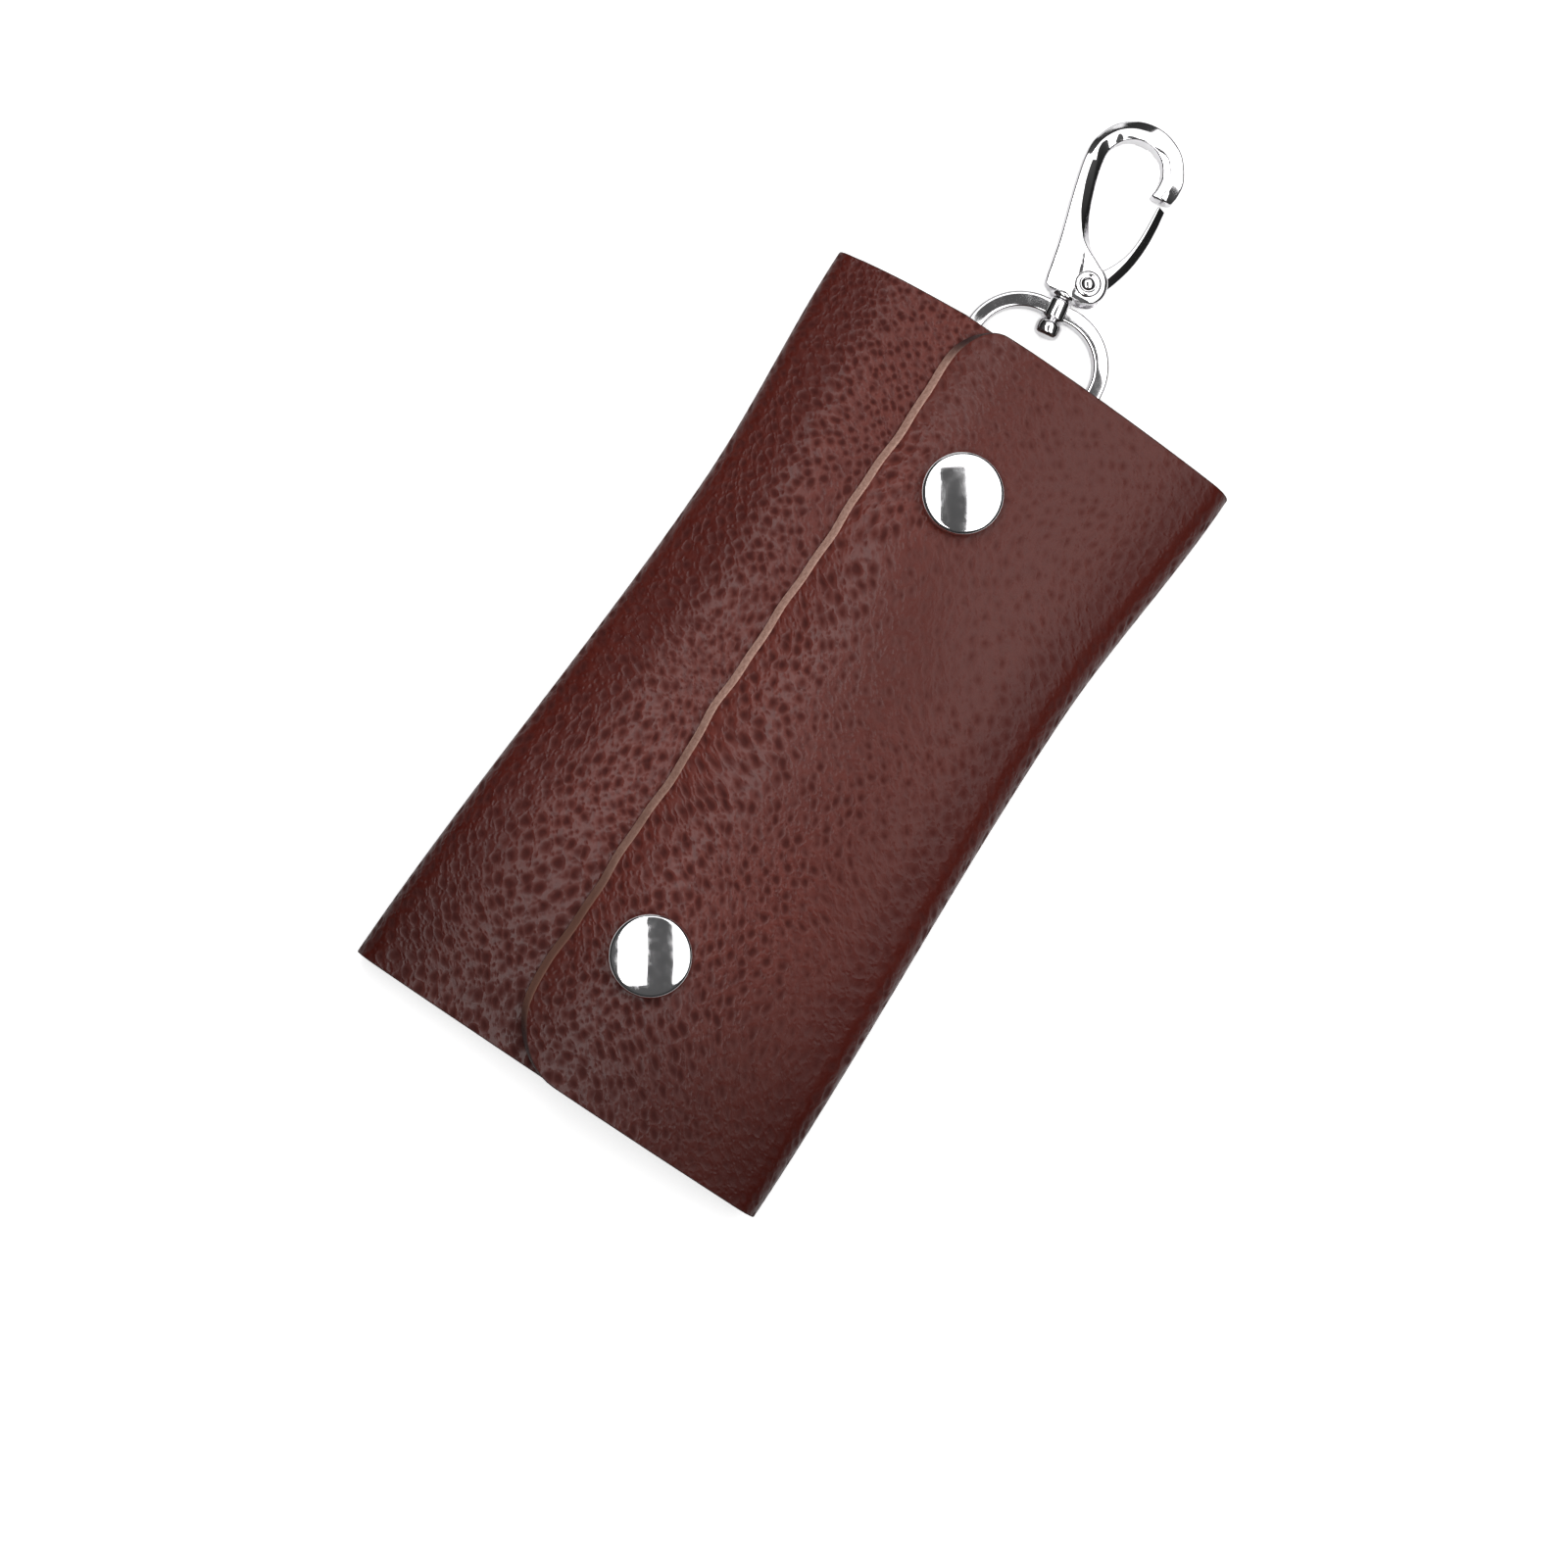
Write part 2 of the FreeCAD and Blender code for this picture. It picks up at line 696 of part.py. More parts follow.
# Snap hook, in the ring's frame moved to the boss: the loop opens on +x, where the gate closes it
loop_y = body_length - loop_radius
eye_left = eye_x - eye_radius
eye_right = eye_x + eye_radius
loop_left = loop_x - loop_radius
loop_right = loop_x + loop_radius
nose_y = loop_y - nose_length
body_low = -body_thick / 2
body_high = body_thick / 2
slot_half = gate_thick / 2 + gate_side_gap
collar_low = boss_half_length + side_gap


def half_ring(low, high):
    ring = disc(loop_radius, low, high, loop_x, loop_y)
    return ring.cut(block(-far, far, -far, loop_y, -far, far))


def snap_hook_body():
    tip_low = -body_tip_thick / 2
    tip_high = body_tip_thick / 2
    top = half_ring(tip_low, tip_high)
    nose = flat(
        [
            (eye_right, loop_y),
            (loop_right, loop_y),
            (loop_right - nose_lean, nose_y),
            (eye_right - nose_lean, nose_y),
        ],
        tip_low,
        tip_high,
    )
    limb = flat(
        [
            (loop_left, loop_y),
            (eye_left, loop_y),
            (eye_left, loop_y - eye_radius),
            (pivot_x - pivot_boss_radius / 2, eye_floor_y),
            (pivot_x, pivot_y),
            (limb_root_x, limb_root_y),
        ],
        tip_low,
        tip_high,
    )
    eye_cut = disc(eye_radius, body_low - overrun, body_high + overrun, eye_x, loop_y)
    root = flat(
        [
            (limb_root_x, limb_root_y),
            (pivot_x, limb_root_y),
            (pivot_x + pivot_boss_radius / 2, pivot_y + pivot_boss_radius / 2),
            (pivot_x - pivot_boss_radius / 2, eye_floor_y),
            (limb_root_x - nose_lean, eye_floor_y),
        ],
        body_low,
        body_high,
    )
    boss = disc(pivot_boss_radius, body_low, body_high, pivot_x, pivot_y)
    body = top.cut(eye_cut).fuse([nose, limb, root, boss]).removeSplitter()
    gate_slot = block(
        pivot_x - gate_hub_radius - 2 * leaf_spring_thick - 2 * side_gap,
        loop_right + overrun,
        pivot_y - gate_hub_radius - side_gap,
        loop_y - eye_radius,
        -slot_half,
        slot_half,
    )
    pin_hole = disc(pin_radius + touch_gap, body_low - overrun, body_high + overrun, pivot_x, pivot_y)
    body = body.cut(gate_slot).cut(pin_hole)
    stem_low = -boss_half_length - side_gap - stem_head_radius
    stem = Part.makeCylinder(stem_radius, limb_root_y - stem_low, V(0, stem_low, 0), axis_y)
    collar = Part.makeCylinder(collar_radius, collar_length, V(0, collar_low, 0), axis_y)
    head = Part.makeSphere(stem_head_radius, V(0, stem_low, 0))
    return body.fuse([stem, collar, head]).removeSplitter()


def hook_gate():
    low = -gate_thick / 2
    high = gate_thick / 2
    tip_reach = math.hypot(eye_right - nose_lean - pivot_x, nose_y - pivot_y) - gate_tip_gap
    tip_right = loop_right - nose_lean - gate_side_gap
    tip_left = tip_right - gate_width
    tip_low = pivot_y + math.sqrt(tip_reach ** 2 - (tip_right - pivot_x) ** 2)
    tip_high = pivot_y + math.sqrt(tip_reach ** 2 - (tip_left - pivot_x) ** 2)
    arm = flat(
        [
            (pivot_x, pivot_y - gate_hub_radius),
            (gate_knee_x, gate_knee_y),
            (gate_back_x, gate_back_y),
            (tip_right, tip_low),
            (tip_left, tip_high),
            (gate_back_x - gate_width, gate_back_y),
            (gate_knee_x - gate_width, gate_knee_y + gate_width),
            (pivot_x, pivot_y + gate_hub_radius),
        ],
        low,
        high,
    )
    hub = disc(gate_hub_radius, low, high, pivot_x, pivot_y)
    bore = disc(pin_radius + run_gap, low - overrun, high + overrun, pivot_x, pivot_y)
    return arm.fuse(hub).removeSplitter().cut(bore)


def gate_pin():
    shank = disc(pin_radius, body_low, body_high, pivot_x, pivot_y)
    lower_head = disc(pin_head_radius, body_low - pin_head, body_low, pivot_x, pivot_y)
    upper_head = disc(pin_head_radius, body_high, body_high + pin_head, pivot_x, pivot_y)
    return shank.fuse([lower_head, upper_head]).removeSplitter()


# Gate spring: a bent strip between the wall of the slot and the gate's hub
def gate_spring():
    wall_x = pivot_x - gate_hub_radius - 2 * leaf_spring_thick - 2 * side_gap
    low_y = pivot_y - gate_hub_radius
    half = gate_thick / 2
    high_y = low_y + leaf_spring_leg
    near_x = wall_x + touch_gap
    wall_leg = block(near_x, near_x + leaf_spring_thick, low_y, high_y, -half, half)
    hub_x = pivot_x - gate_hub_radius - touch_gap
    hub_leg = block(hub_x - leaf_spring_thick, hub_x, pivot_y, high_y, -half, half)
    bridge = block(near_x, hub_x, high_y - leaf_spring_thick, high_y, -half, half)
    return wall_leg.fuse([hub_leg, bridge]).removeSplitter()


# The ring and hook slope down from the bar until the hook's tip lies just over the surface
hook_reach = boss_y + body_length
pitch = math.degrees(math.asin((bar_z - body_tip_thick / 2 - tip_clear) / hook_reach))
ring_frame = tab_frame.multiply(
    FreeCAD.Placement(V(0, tab_reach, bar_z), FreeCAD.Rotation(axis_x, -pitch))
)
hook_frame = ring_frame.multiply(FreeCAD.Placement(V(0, boss_y, 0), FreeCAD.Rotation()))
parts["d_ring"] = placed(d_ring(), ring_frame)
parts["snap_hook_body"] = placed(snap_hook_body(), hook_frame)
parts["hook_gate"] = placed(hook_gate(), hook_frame)
parts["gate_pin"] = placed(gate_pin(), hook_frame)
parts["gate_spring"] = placed(gate_spring(), hook_frame)

os.makedirs("parts", exist_ok=True)
for name, shape in parts.items():
    solids = len(shape.Solids)
    print(f"{name}: {solids} solid, valid {shape.isValid()}, {shape.Volume:.1f} mm3")
    shape.exportStep(f"parts/{name}.step")

# Places that the joints use
for name, bend in (
    ("outer_lower", outer_lower),
    ("outer_upper", outer_upper),
    ("inner_lower", inner_lower),
    ("inner_upper", inner_upper),
):
    print(f"crease {name}: x {bend[2].x:.4f} z {bend[2].z:.4f}")
print("bar", ring_frame.Base, "pitch", round(pitch, 4))
print("bar axis", ring_frame.Rotation.multVec(axis_x))
print("swivel axis", hook_frame.Rotation.multVec(axis_y), "at", hook_frame.Base)
print("gate pivot", hook_frame.multVec(V(pivot_x, pivot_y, 0)), hook_frame.Rotation.multVec(axis_z))
print("hook axis z", hook_axis_z, "hook x", hook_places, "leaf eye", leaf_x, plate_y + leaf_eye_y)
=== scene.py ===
import bpy
import bmesh
import json
import math
import numpy as np
from mathutils import Matrix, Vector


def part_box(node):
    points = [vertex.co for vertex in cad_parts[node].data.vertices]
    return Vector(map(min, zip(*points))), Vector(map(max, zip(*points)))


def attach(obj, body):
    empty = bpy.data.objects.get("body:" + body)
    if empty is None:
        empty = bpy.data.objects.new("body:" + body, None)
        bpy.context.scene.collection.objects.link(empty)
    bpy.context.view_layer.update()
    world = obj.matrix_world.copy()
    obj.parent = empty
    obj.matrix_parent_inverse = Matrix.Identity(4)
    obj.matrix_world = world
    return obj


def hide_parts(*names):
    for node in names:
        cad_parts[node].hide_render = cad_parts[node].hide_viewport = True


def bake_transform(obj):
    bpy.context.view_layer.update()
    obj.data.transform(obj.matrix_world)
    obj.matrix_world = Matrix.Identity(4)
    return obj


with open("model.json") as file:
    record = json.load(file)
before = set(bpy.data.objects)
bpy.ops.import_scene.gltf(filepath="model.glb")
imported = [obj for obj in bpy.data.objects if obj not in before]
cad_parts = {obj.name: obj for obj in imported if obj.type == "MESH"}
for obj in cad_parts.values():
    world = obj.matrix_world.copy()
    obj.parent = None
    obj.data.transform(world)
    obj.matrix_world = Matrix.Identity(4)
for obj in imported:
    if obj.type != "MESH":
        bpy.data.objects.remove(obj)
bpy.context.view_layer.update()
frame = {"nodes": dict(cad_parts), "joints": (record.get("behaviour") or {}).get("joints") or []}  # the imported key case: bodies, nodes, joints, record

mm = 0.001
quarterTurn = math.pi / 2
join = np.concatenate
scene = bpy.context.scene
joints = {j["name"]: j for j in frame["joints"]}
print("key case: frame loaded,", len(frame["nodes"]), "nodes")


# Mesh helpers

weld = {"near": 0.0015, "sliver": 0.0005}  # mm between points that become one, and of faces that are dropped


def grid(points, finish=0, uv=None, around=False):
    # one surface: rows by columns of points in mm; around joins the last column to the first
    return {"points": np.asarray(points, float), "finish": finish, "uv": uv, "around": around}


def addObject(name, data):
    thing = bpy.data.objects.new(name, data)
    scene.collection.objects.link(thing)
    return thing


def makePiece(name, grids, finishes, sharp):
    # each point is joined to its neighbours along the row and the column, then shared borders are welded
    points, quads, marks, maps, first = [], [], [], [], 0
    for g in grids:
        rows, columns = g["points"].shape[:2]
        index = first + np.arange(rows * columns).reshape(rows, columns)
        if g["around"]:
            index = join([index, index[:, :1]], axis=1)
        corners = [index[:-1, :-1], index[:-1, 1:], index[1:, 1:], index[1:, :-1]]
        faces = np.stack(corners, axis=-1).reshape(-1, 4)
        points.append(g["points"].reshape(-1, 3))
        maps.append(np.zeros((rows * columns, 2)) if g["uv"] is None else g["uv"].reshape(-1, 2))
        quads.append(faces)
        marks.append(np.full(len(faces), g["finish"]))
        first += rows * columns
    points, quads, marks, maps = (join(a) for a in (points, quads, marks, maps))
    mesh = bpy.data.meshes.new(name)
    mesh.from_pydata((points * mm).tolist(), [], quads.tolist())
    mesh.polygons.foreach_set("material_index", marks.astype(np.int32))
    layer = mesh.uv_layers.new(name="UVMap")
    layer.data.foreach_set("uv", maps[quads.ravel()].ravel())
    for finish in finishes:
        mesh.materials.append(finish)
    work = bmesh.new()
    work.from_mesh(mesh)
    bmesh.ops.remove_doubles(work, verts=work.verts, dist=weld["near"] * mm)
    bmesh.ops.dissolve_degenerate(work, dist=weld["sliver"] * mm, edges=work.edges)
    bmesh.ops.holes_fill(work, edges=[e for e in work.edges if e.is_boundary], sides=0)
    bmesh.ops.recalc_face_normals(work, faces=work.faces)
    work.to_mesh(mesh)
    work.free()
    mesh.polygons.foreach_set("use_smooth", np.ones(len(mesh.polygons), bool))
    mesh.set_sharp_from_angle(angle=math.radians(sharp))
    return addObject(name, mesh)


def pairs(x, y):
    return np.stack(np.broadcast_arrays(x, y), axis=-1)


def placeIn(points, place):
    # local x, y, z go along the place's three axes from its origin
    return points @ place["axes"] + place["origin"]


def makePlace(origin, xAxis=(1, 0, 0), yAxis=(0, 1, 0), zAxis=(0, 0, 1)):
    return {"origin": np.array(origin, float), "axes": np.array([xAxis, yAxis, zAxis], float)}


def swept(flat, z, place):
    # sections given by their local xy points and their z, joined one to the next
    return grid(placeIn(join([flat, z[..., None]], axis=-1), place), around=True)


def smoothStep(low, high, x):
    t = np.clip((x - low) / (high - low), 0, 1)
    return t * t * (3 - 2 * t)


def onset(x, soft):
    # zero below zero and x itself above it, eased over about soft: half of x + sqrt(x^2 + soft^2)
    return 0.5 * (x + np.sqrt(x * x + soft * soft))


def turned(profile, place, steps):
    # a profile of (radius, height) turned about local z: x = r cos a, y = r sin a, z = height
    profile = np.asarray(profile, float)
    a = np.linspace(0, 2 * math.pi, steps, endpoint=False)
    r, h = profile[:, :1], profile[:, 1:]
    return swept(pairs(r * np.cos(a), r * np.sin(a)), h + 0 * a, place)


def drumSide(r, h, edge, steps):
    # the outside of a drum from its low rim to its high one, both rims rounded by a quarter circle
    q = np.linspace(0, quarterTurn, steps)
    lip = pairs(r - edge + edge * np.cos(q), h - edge + edge * np.sin(q))
    return join([(lip * [1, -1])[::-1], lip])


def through(points, count):
    # a smooth line through control points: Catmull-Rom, with the end points mirrored outwards
    p = np.asarray(points, float)
    q = join([2 * p[:1] - p[1:2], p, 2 * p[-1:] - p[-2:-1]])
    t = np.linspace(0, len(p) - 1, count)
    i = np.minimum(t.astype(int), len(p) - 2)
    f = (t - i)[:, None]
    a, b, c, d = q[i], q[i + 1], q[i + 2], q[i + 3]
    return 0.5 * (2 * b + (c - a) * f + (2 * a - 5 * b + 4 * c - d) * f**2 + (3 * b - a - 3 * c + d) * f**3)


def roundBox(count, power):
    # a rounded square outline from -1 to 1: |q|^n + |z|^n = 1
    # a column of powers gives a row of points for each
    a = np.linspace(0, 2 * math.pi, count, endpoint=False)
    c, s = np.cos(a), np.sin(a)
    return np.sign(c) * np.abs(c) ** (2 / power), np.sign(s) * np.abs(s) ** (2 / power)


def unitAlong(line):
    along = np.gradient(line, axis=0)
    return along / np.linalg.norm(along, axis=1)[:, None]


cast = {"capSteps": 8, "faceSteps": 34, "ease": 0.12, "slotLip": 0.05}


def runOn(values):
    # the first and last row again for every step of the rounded ends
    steps = cast["capSteps"]
    return join([np.repeat(values[:1], steps, 0), values, np.repeat(values[-1:], steps, 0)])


def roundedEnds(mid, caps):
    # the middle line runs on by sin times the cap's length at both ends, and the section shrinks by cos
    along = unitAlong(mid)
    phi = np.linspace(0, quarterTurn, cast["capSteps"] + 1)[1:]
    shrink = join([np.cos(phi)[::-1], np.ones(len(mid)), np.cos(phi)])[:, None]
    before = mid[0] - along[0] * (np.sin(phi)[::-1, None] * caps[0])
    after = mid[-1] + along[-1] * (np.sin(phi)[:, None] * caps[1])
    return join([before, mid, after]), shrink


def barBetween(edges, shape, place):
    # a bar whose sides follow two lines in the local xy plane: middle + q * half the gap, and z * half
    a, b = (through(edge, shape["rows"]) for edge in edges)
    mid, shrink = roundedEnds((a + b) / 2, shape["caps"])
    span = runOn((b - a) / 2) * shrink
    q, z = roundBox(shape["section"], shape["square"])
    flat = mid[:, None, :] + q[None, :, None] * span[:, None, :]
    return swept(flat, z * shape["half"] * shrink, place)


def castBar(shape, sides, place):
    # from its first side the face climbs a slope, runs level, then drops in a bevel to a side with a slot:
    # z = half - what is left to climb - what has dropped - the rounding at the walls, with x across in mm
    a, b = (through(shape[side], shape["rows"]) for side in sides)
    known = np.arange(len(shape["half"]))
    stations = np.linspace(0, len(known) - 1, shape["rows"])
    names = ("half", "climb", "drop", "slot", "climbAngle", "dropAngle")
    rules = (np.interp(stations, known, shape[k]) for k in names)
    h, climb, drop, cut, climbAngle, dropAngle = (runOn(rule)[:, None] for rule in rules)
    upSlope, downSlope = np.tan(np.radians(climbAngle)), np.tan(np.radians(dropAngle))
    mid, shrink = roundedEnds((a + b) / 2, shape["caps"])
    span = runOn((b - a) / 2)
    wide = 2 * np.linalg.norm(span, axis=1)[:, None]
    x = (1 - np.cos(np.linspace(0, math.pi, cast["faceSteps"])))[None, :] / 2 * wide
    rise = onset(climb / upSlope - x, cast["ease"])
    fall = onset(x - (wide - drop / downSlope), cast["ease"])
    r = shape["round"]
    near = np.minimum(r, np.minimum(x, wide - x))
    z = h - rise * upSlope - fall * downSlope - (r - np.sqrt(np.maximum(r * r - (r - near) ** 2, 0)))
    slotZ = np.minimum(shape["slotHalf"], z[:, -1:] - cast["slotLip"])
    wall = join([wide, wide - cut, wide - cut, wide], axis=1)
    wallZ = join([slotZ, slotZ, -slotZ, -slotZ], axis=1)
    x = join([x, wall, x[:, ::-1]], axis=1)
    z = join([z, wallZ, -z[:, ::-1]], axis=1) * shrink
    q = (2 * x / wide - 1) * shrink
    return swept(mid[:, None, :] + q[:, :, None] * span[:, None, :], z, place)


# Node helpers

def newFinish(name):
    finish = bpy.data.materials.new(name)
    finish.use_nodes = True
    return finish, finish.node_tree


def add(tree, kind, settings=None, **sockets):
    node = tree.nodes.new("ShaderNode" + kind)
    for key, value in (settings or {}).items():
        setattr(node, key, value)
    for key, value in sockets.items():
        node.inputs[key].default_value = value
    return node


def wire(start, end):
    start.id_data.links.new(start, end)


def feed(start, kind, settings=None, **sockets):
    # a new node with its first input wired; gives its outputs
    node = add(start.id_data, kind, settings, **sockets)
    wire(start, node.inputs[0])
    return node.outputs


def fill(socket, value):
    # another node's output is wired to the socket, and a plain value is set on it
    if isinstance(value, bpy.types.NodeSocket):
        wire(value, socket)
    else:
        socket.default_value = value


def dress(finish, looks):
    shader = finish.node_tree.nodes["Principled BSDF"]
    for key, value in looks.items():
        fill(shader.inputs[key], value)
    return finish


def math2(operation, *values, kind="Math"):
    tree = next(v for v in values if isinstance(v, bpy.types.NodeSocket)).id_data
    node = add(tree, kind, {"operation": operation})
    for socket, value in zip(node.inputs, values):
        fill(socket, value)
    return node.outputs[0]


def both(a, b):
    return math2("MULTIPLY", a, b)


def most(a, b):
    return math2("MAXIMUM", a, b)


def mix(factor, a, b):
    node = add(factor.id_data, "Mix", {"data_type": "RGBA"})
    for number, value in ((0, factor), (6, a), (7, b)):
        fill(node.inputs[number], (*value, 1) if isinstance(value, tuple) else value)
    return node.outputs[2]


def remap(value, low, high, start=0.0, end=1.0, smooth=True):
    kind = "SMOOTHSTEP" if smooth else "LINEAR"
    node = add(value.id_data, "MapRange", {"interpolation_type": kind, "clamp": True})
    for socket, v in zip(node.inputs[:5], (value, low, high, start, end)):
        fill(socket, v)
    return node.outputs[0]


def noise(where, dimensions, scale, detail, output="Fac", **more):
    kind = {"noise_dimensions": dimensions}
    return feed(where, "TexNoise", kind, Scale=scale, Detail=detail, **more)[output]


def cells(where, dimensions, **sockets):
    found = feed(where, "TexVoronoi", {"voronoi_dimensions": dimensions, "feature": "F1"}, **sockets)
    return found["Distance"], found["Color"]


def bump(height, strength, distance):
    node = add(height.id_data, "Bump", Strength=strength, Distance=distance)
    wire(height, node.inputs["Height"])
    return node.outputs[0]


# Leather

leather = {
    "length": 125.0, "thick": 1.4, "press": 0.05,
    "halfWidth": (34.3, 31.2, 33.6), "waistY": 22.0,  # lower end, waist, top end
    "innerHeight": (8.6, 11.6, 9.0), "innerCrown": 1.0,
    "foldHeight": (9.4, 12.4, 9.8), "pastEnd": 1.2,
    "outerEdge": -12.0, "edgeGap": 0.6, "outerCorners": (12.0, 6.5),  # lower, top
    "innerEdge": 10.5, "innerCorners": (4.0, 4.0), "topDrop": 1.9, "pastFold": 1.1,
    "snapX": 0.45, "snapY": 39.45, "snapStack": 3.0,
    "bevel": 1.75, "endRound": 0.2, "uvSpan": 300.0, "sharp": 60.0,
    "columns": 110, "middleRows": 120, "backRows": 140, "cornerRows": 14,
}
halfLength = leather["length"] / 2


def alongCase(values, y):
    # eases from the waist's value to the ends' values with a smooth step of the distance along the case
    bottom, waist, top = values
    at = leather["waistY"]
    s = np.where(y > at, (y - at) / (halfLength - at), (at - y) / (halfLength + at))
    s = np.clip(s, 0, leather["pastEnd"])
    return waist + (np.where(y > at, top, bottom) - waist) * s * s * (3 - 2 * s)


def crownHeight(y):
    return alongCase(leather["innerHeight"], y) + leather["snapStack"] + leather["thick"]


def foldRuns(y, r, height, topX):
    # flat back, fold circle and the crown's arc at each y, with the length s along the hide where each ends
    # the arc is level at topX and touches the fold's circle, which gives its radius
    cx = alongCase(leather["halfWidth"], y) - r
    cz = r - leather["press"]
    run = cx - topX
    big = (run * run + height * height - 2 * height * r) / (2 * (height - 2 * r))
    top = height - leather["press"]
    meet = np.arctan2(cz - (top - big), run)
    foldEnd = cx + r * (meet + quarterTurn)
    apex = foldEnd + big * (quarterTurn - meet)
    return {"r": r, "cx": cx, "cz": cz, "big": big, "top": top, "meet": meet,
            "foldEnd": foldEnd, "apex": apex, "seam": cx + r * quarterTurn}


def outerRuns(y):
    # the outer side goes on past the crown's top in a smaller arc, down to the free edge
    n = foldRuns(y, alongCase(leather["foldHeight"], y) / 2, crownHeight(y), leather["snapX"])
    drop = leather["snapStack"] - leather["edgeGap"]
    reach = leather["snapX"] - leather["outerEdge"]
    n["left"] = (reach**2 + drop**2) / (2 * drop) + leather["thick"]
    n["edge"] = n["apex"] + n["left"] * np.arcsin(reach / n["left"])
    return n


def innerRuns(y):
    # the inner side, counted leftwards, ends in a level tail under the outer flap
    height = alongCase(leather["innerHeight"], y)
    n = foldRuns(y, (height - leather["innerCrown"]) / 2, height, -leather["outerEdge"])
    n["edge"] = n["apex"] - leather["outerEdge"] + leather["innerEdge"]
    return n


def onArc(x, z, radius, angle):
    return x + radius * np.cos(angle), z + radius * np.sin(angle)


def foldPoint(n, s, depth, topX, tail):
    # s runs from the middle of the back, round the fold and over the crown; depth goes into the leather
    fold = onArc(n["cx"], n["cz"], n["r"] - depth, (s - n["cx"]) / n["r"] - quarterTurn)
    crown = onArc(topX, n["top"] - n["big"], n["big"] - depth, n["meet"] + (s - n["foldEnd"]) / n["big"])
    back = (s, depth - leather["press"])
    on = [s < n["cx"], s < n["foldEnd"], s < n["apex"]]
    x, z = (np.select(on, [back[i], fold[i], crown[i]], tail[i]) for i in (0, 1))
    return x, np.maximum(z, 0)


def outerPoint(s, y, depth):
    n, topX = outerRuns(y), leather["snapX"]
    tail = onArc(topX, n["top"] - n["left"], n["left"] - depth, quarterTurn + (s - n["apex"]) / n["left"])
    x, z = foldPoint(n, s, depth, topX, tail)
    return np.stack([x, y + 0 * s, z], axis=-1)


def innerPoint(s, y, depth):
    n, topX = innerRuns(y), -leather["outerEdge"]
    x, z = foldPoint(n, s, depth, topX, (topX - (s - n["apex"]), n["top"] - depth))
    return np.stack([-x, y + 0 * s, z], axis=-1)


waves = {
    "start": 4.0, "stop": 3.0, "sink": 0.3, "sinkReach": 9.0,
    # height, radians per mm along and across the hide, and start of each sine
    "outerLong": (0.14, 0.095, 0.0, 0.6), "outerAcross": (1.0, 0.0, 0.11, 0.4),
    "outerShort": (0.07, 0.21, -0.09, 0.0), "innerLong": (0.12, 0.085, 0.0, 1.1),
    "innerShort": (0.06, 0.19, 0.15, 0.0), "shoulder": 1.6, "bellAt": 3.0, "bellReach": 6.5, "bellStart": 1.0,
    "bellLow": 0.3, "bellFrom": (-42.0, 2.0),
}


def ripple(name, s, y):
    high, along, across, start = waves[name]
    return high * np.sin(along * y + across * s + start)


def outerRelief(s, y):
    # the hide sinks round each cap in a bell curve and waves gently along its length, less towards the back
    n = outerRuns(y)
    sink = 0.0
    for place in (-1, 1):
        away = np.hypot(s - n["apex"], y - place * leather["snapY"])
        sink = sink + waves["sink"] * np.exp(-((away / waves["sinkReach"]) ** 2))
    wave = ripple("outerLong", s, y) * ripple("outerAcross", s - n["apex"], y) + ripple("outerShort", s, y)
    return smoothStep(n["cx"] + waves["start"], n["apex"], s) * (sink + wave)


def innerRelief(s, y):
    # gentle waves, and a bell curve that flattens the fold's shoulder into a slope, less at the lower end
    n = innerRuns(y)
    stop = waves["stop"]
    shown = smoothStep(n["cx"] + waves["start"], n["apex"], s)
    shown = shown * (1 - smoothStep(n["apex"] - stop, n["apex"] + stop, s))
    wave = ripple("innerLong", s, y) + ripple("innerShort", s, y)
    bell = np.exp(-(((s - n["foldEnd"] + waves["bellAt"]) / waves["bellReach"]) ** 2))
    bell = bell * smoothStep(n["seam"] - waves["bellStart"], n["foldEnd"], s)
    low = waves["bellLow"]
    return shown * wave + waves["shoulder"] * bell * (low + (1 - low) * smoothStep(*waves["bellFrom"], y))


def outerTop(s):
    return halfLength + 0 * s


def innerTop(s):
    # the top edge drops in a straight slant from the outer flap's edge line to the left fold
    x = innerPoint(s, np.full_like(s, halfLength), 0 * s)[..., 0]
    edge = leather["outerEdge"]
    slant = np.clip((edge - x) / (leather["halfWidth"][2] + edge), 0, leather["pastFold"])
    return halfLength - leather["topDrop"] * slant


# the cut edge's two sines: share of the height, radians per mm, start; its drifts: share, from, to
wander = {"sines": ((1.0, 0.31, 0.7), (0.6, 0.74, 2.0)), "drifts": ((0.9, -14.0, -3.0), (0.3, -45.0, -18.0))}


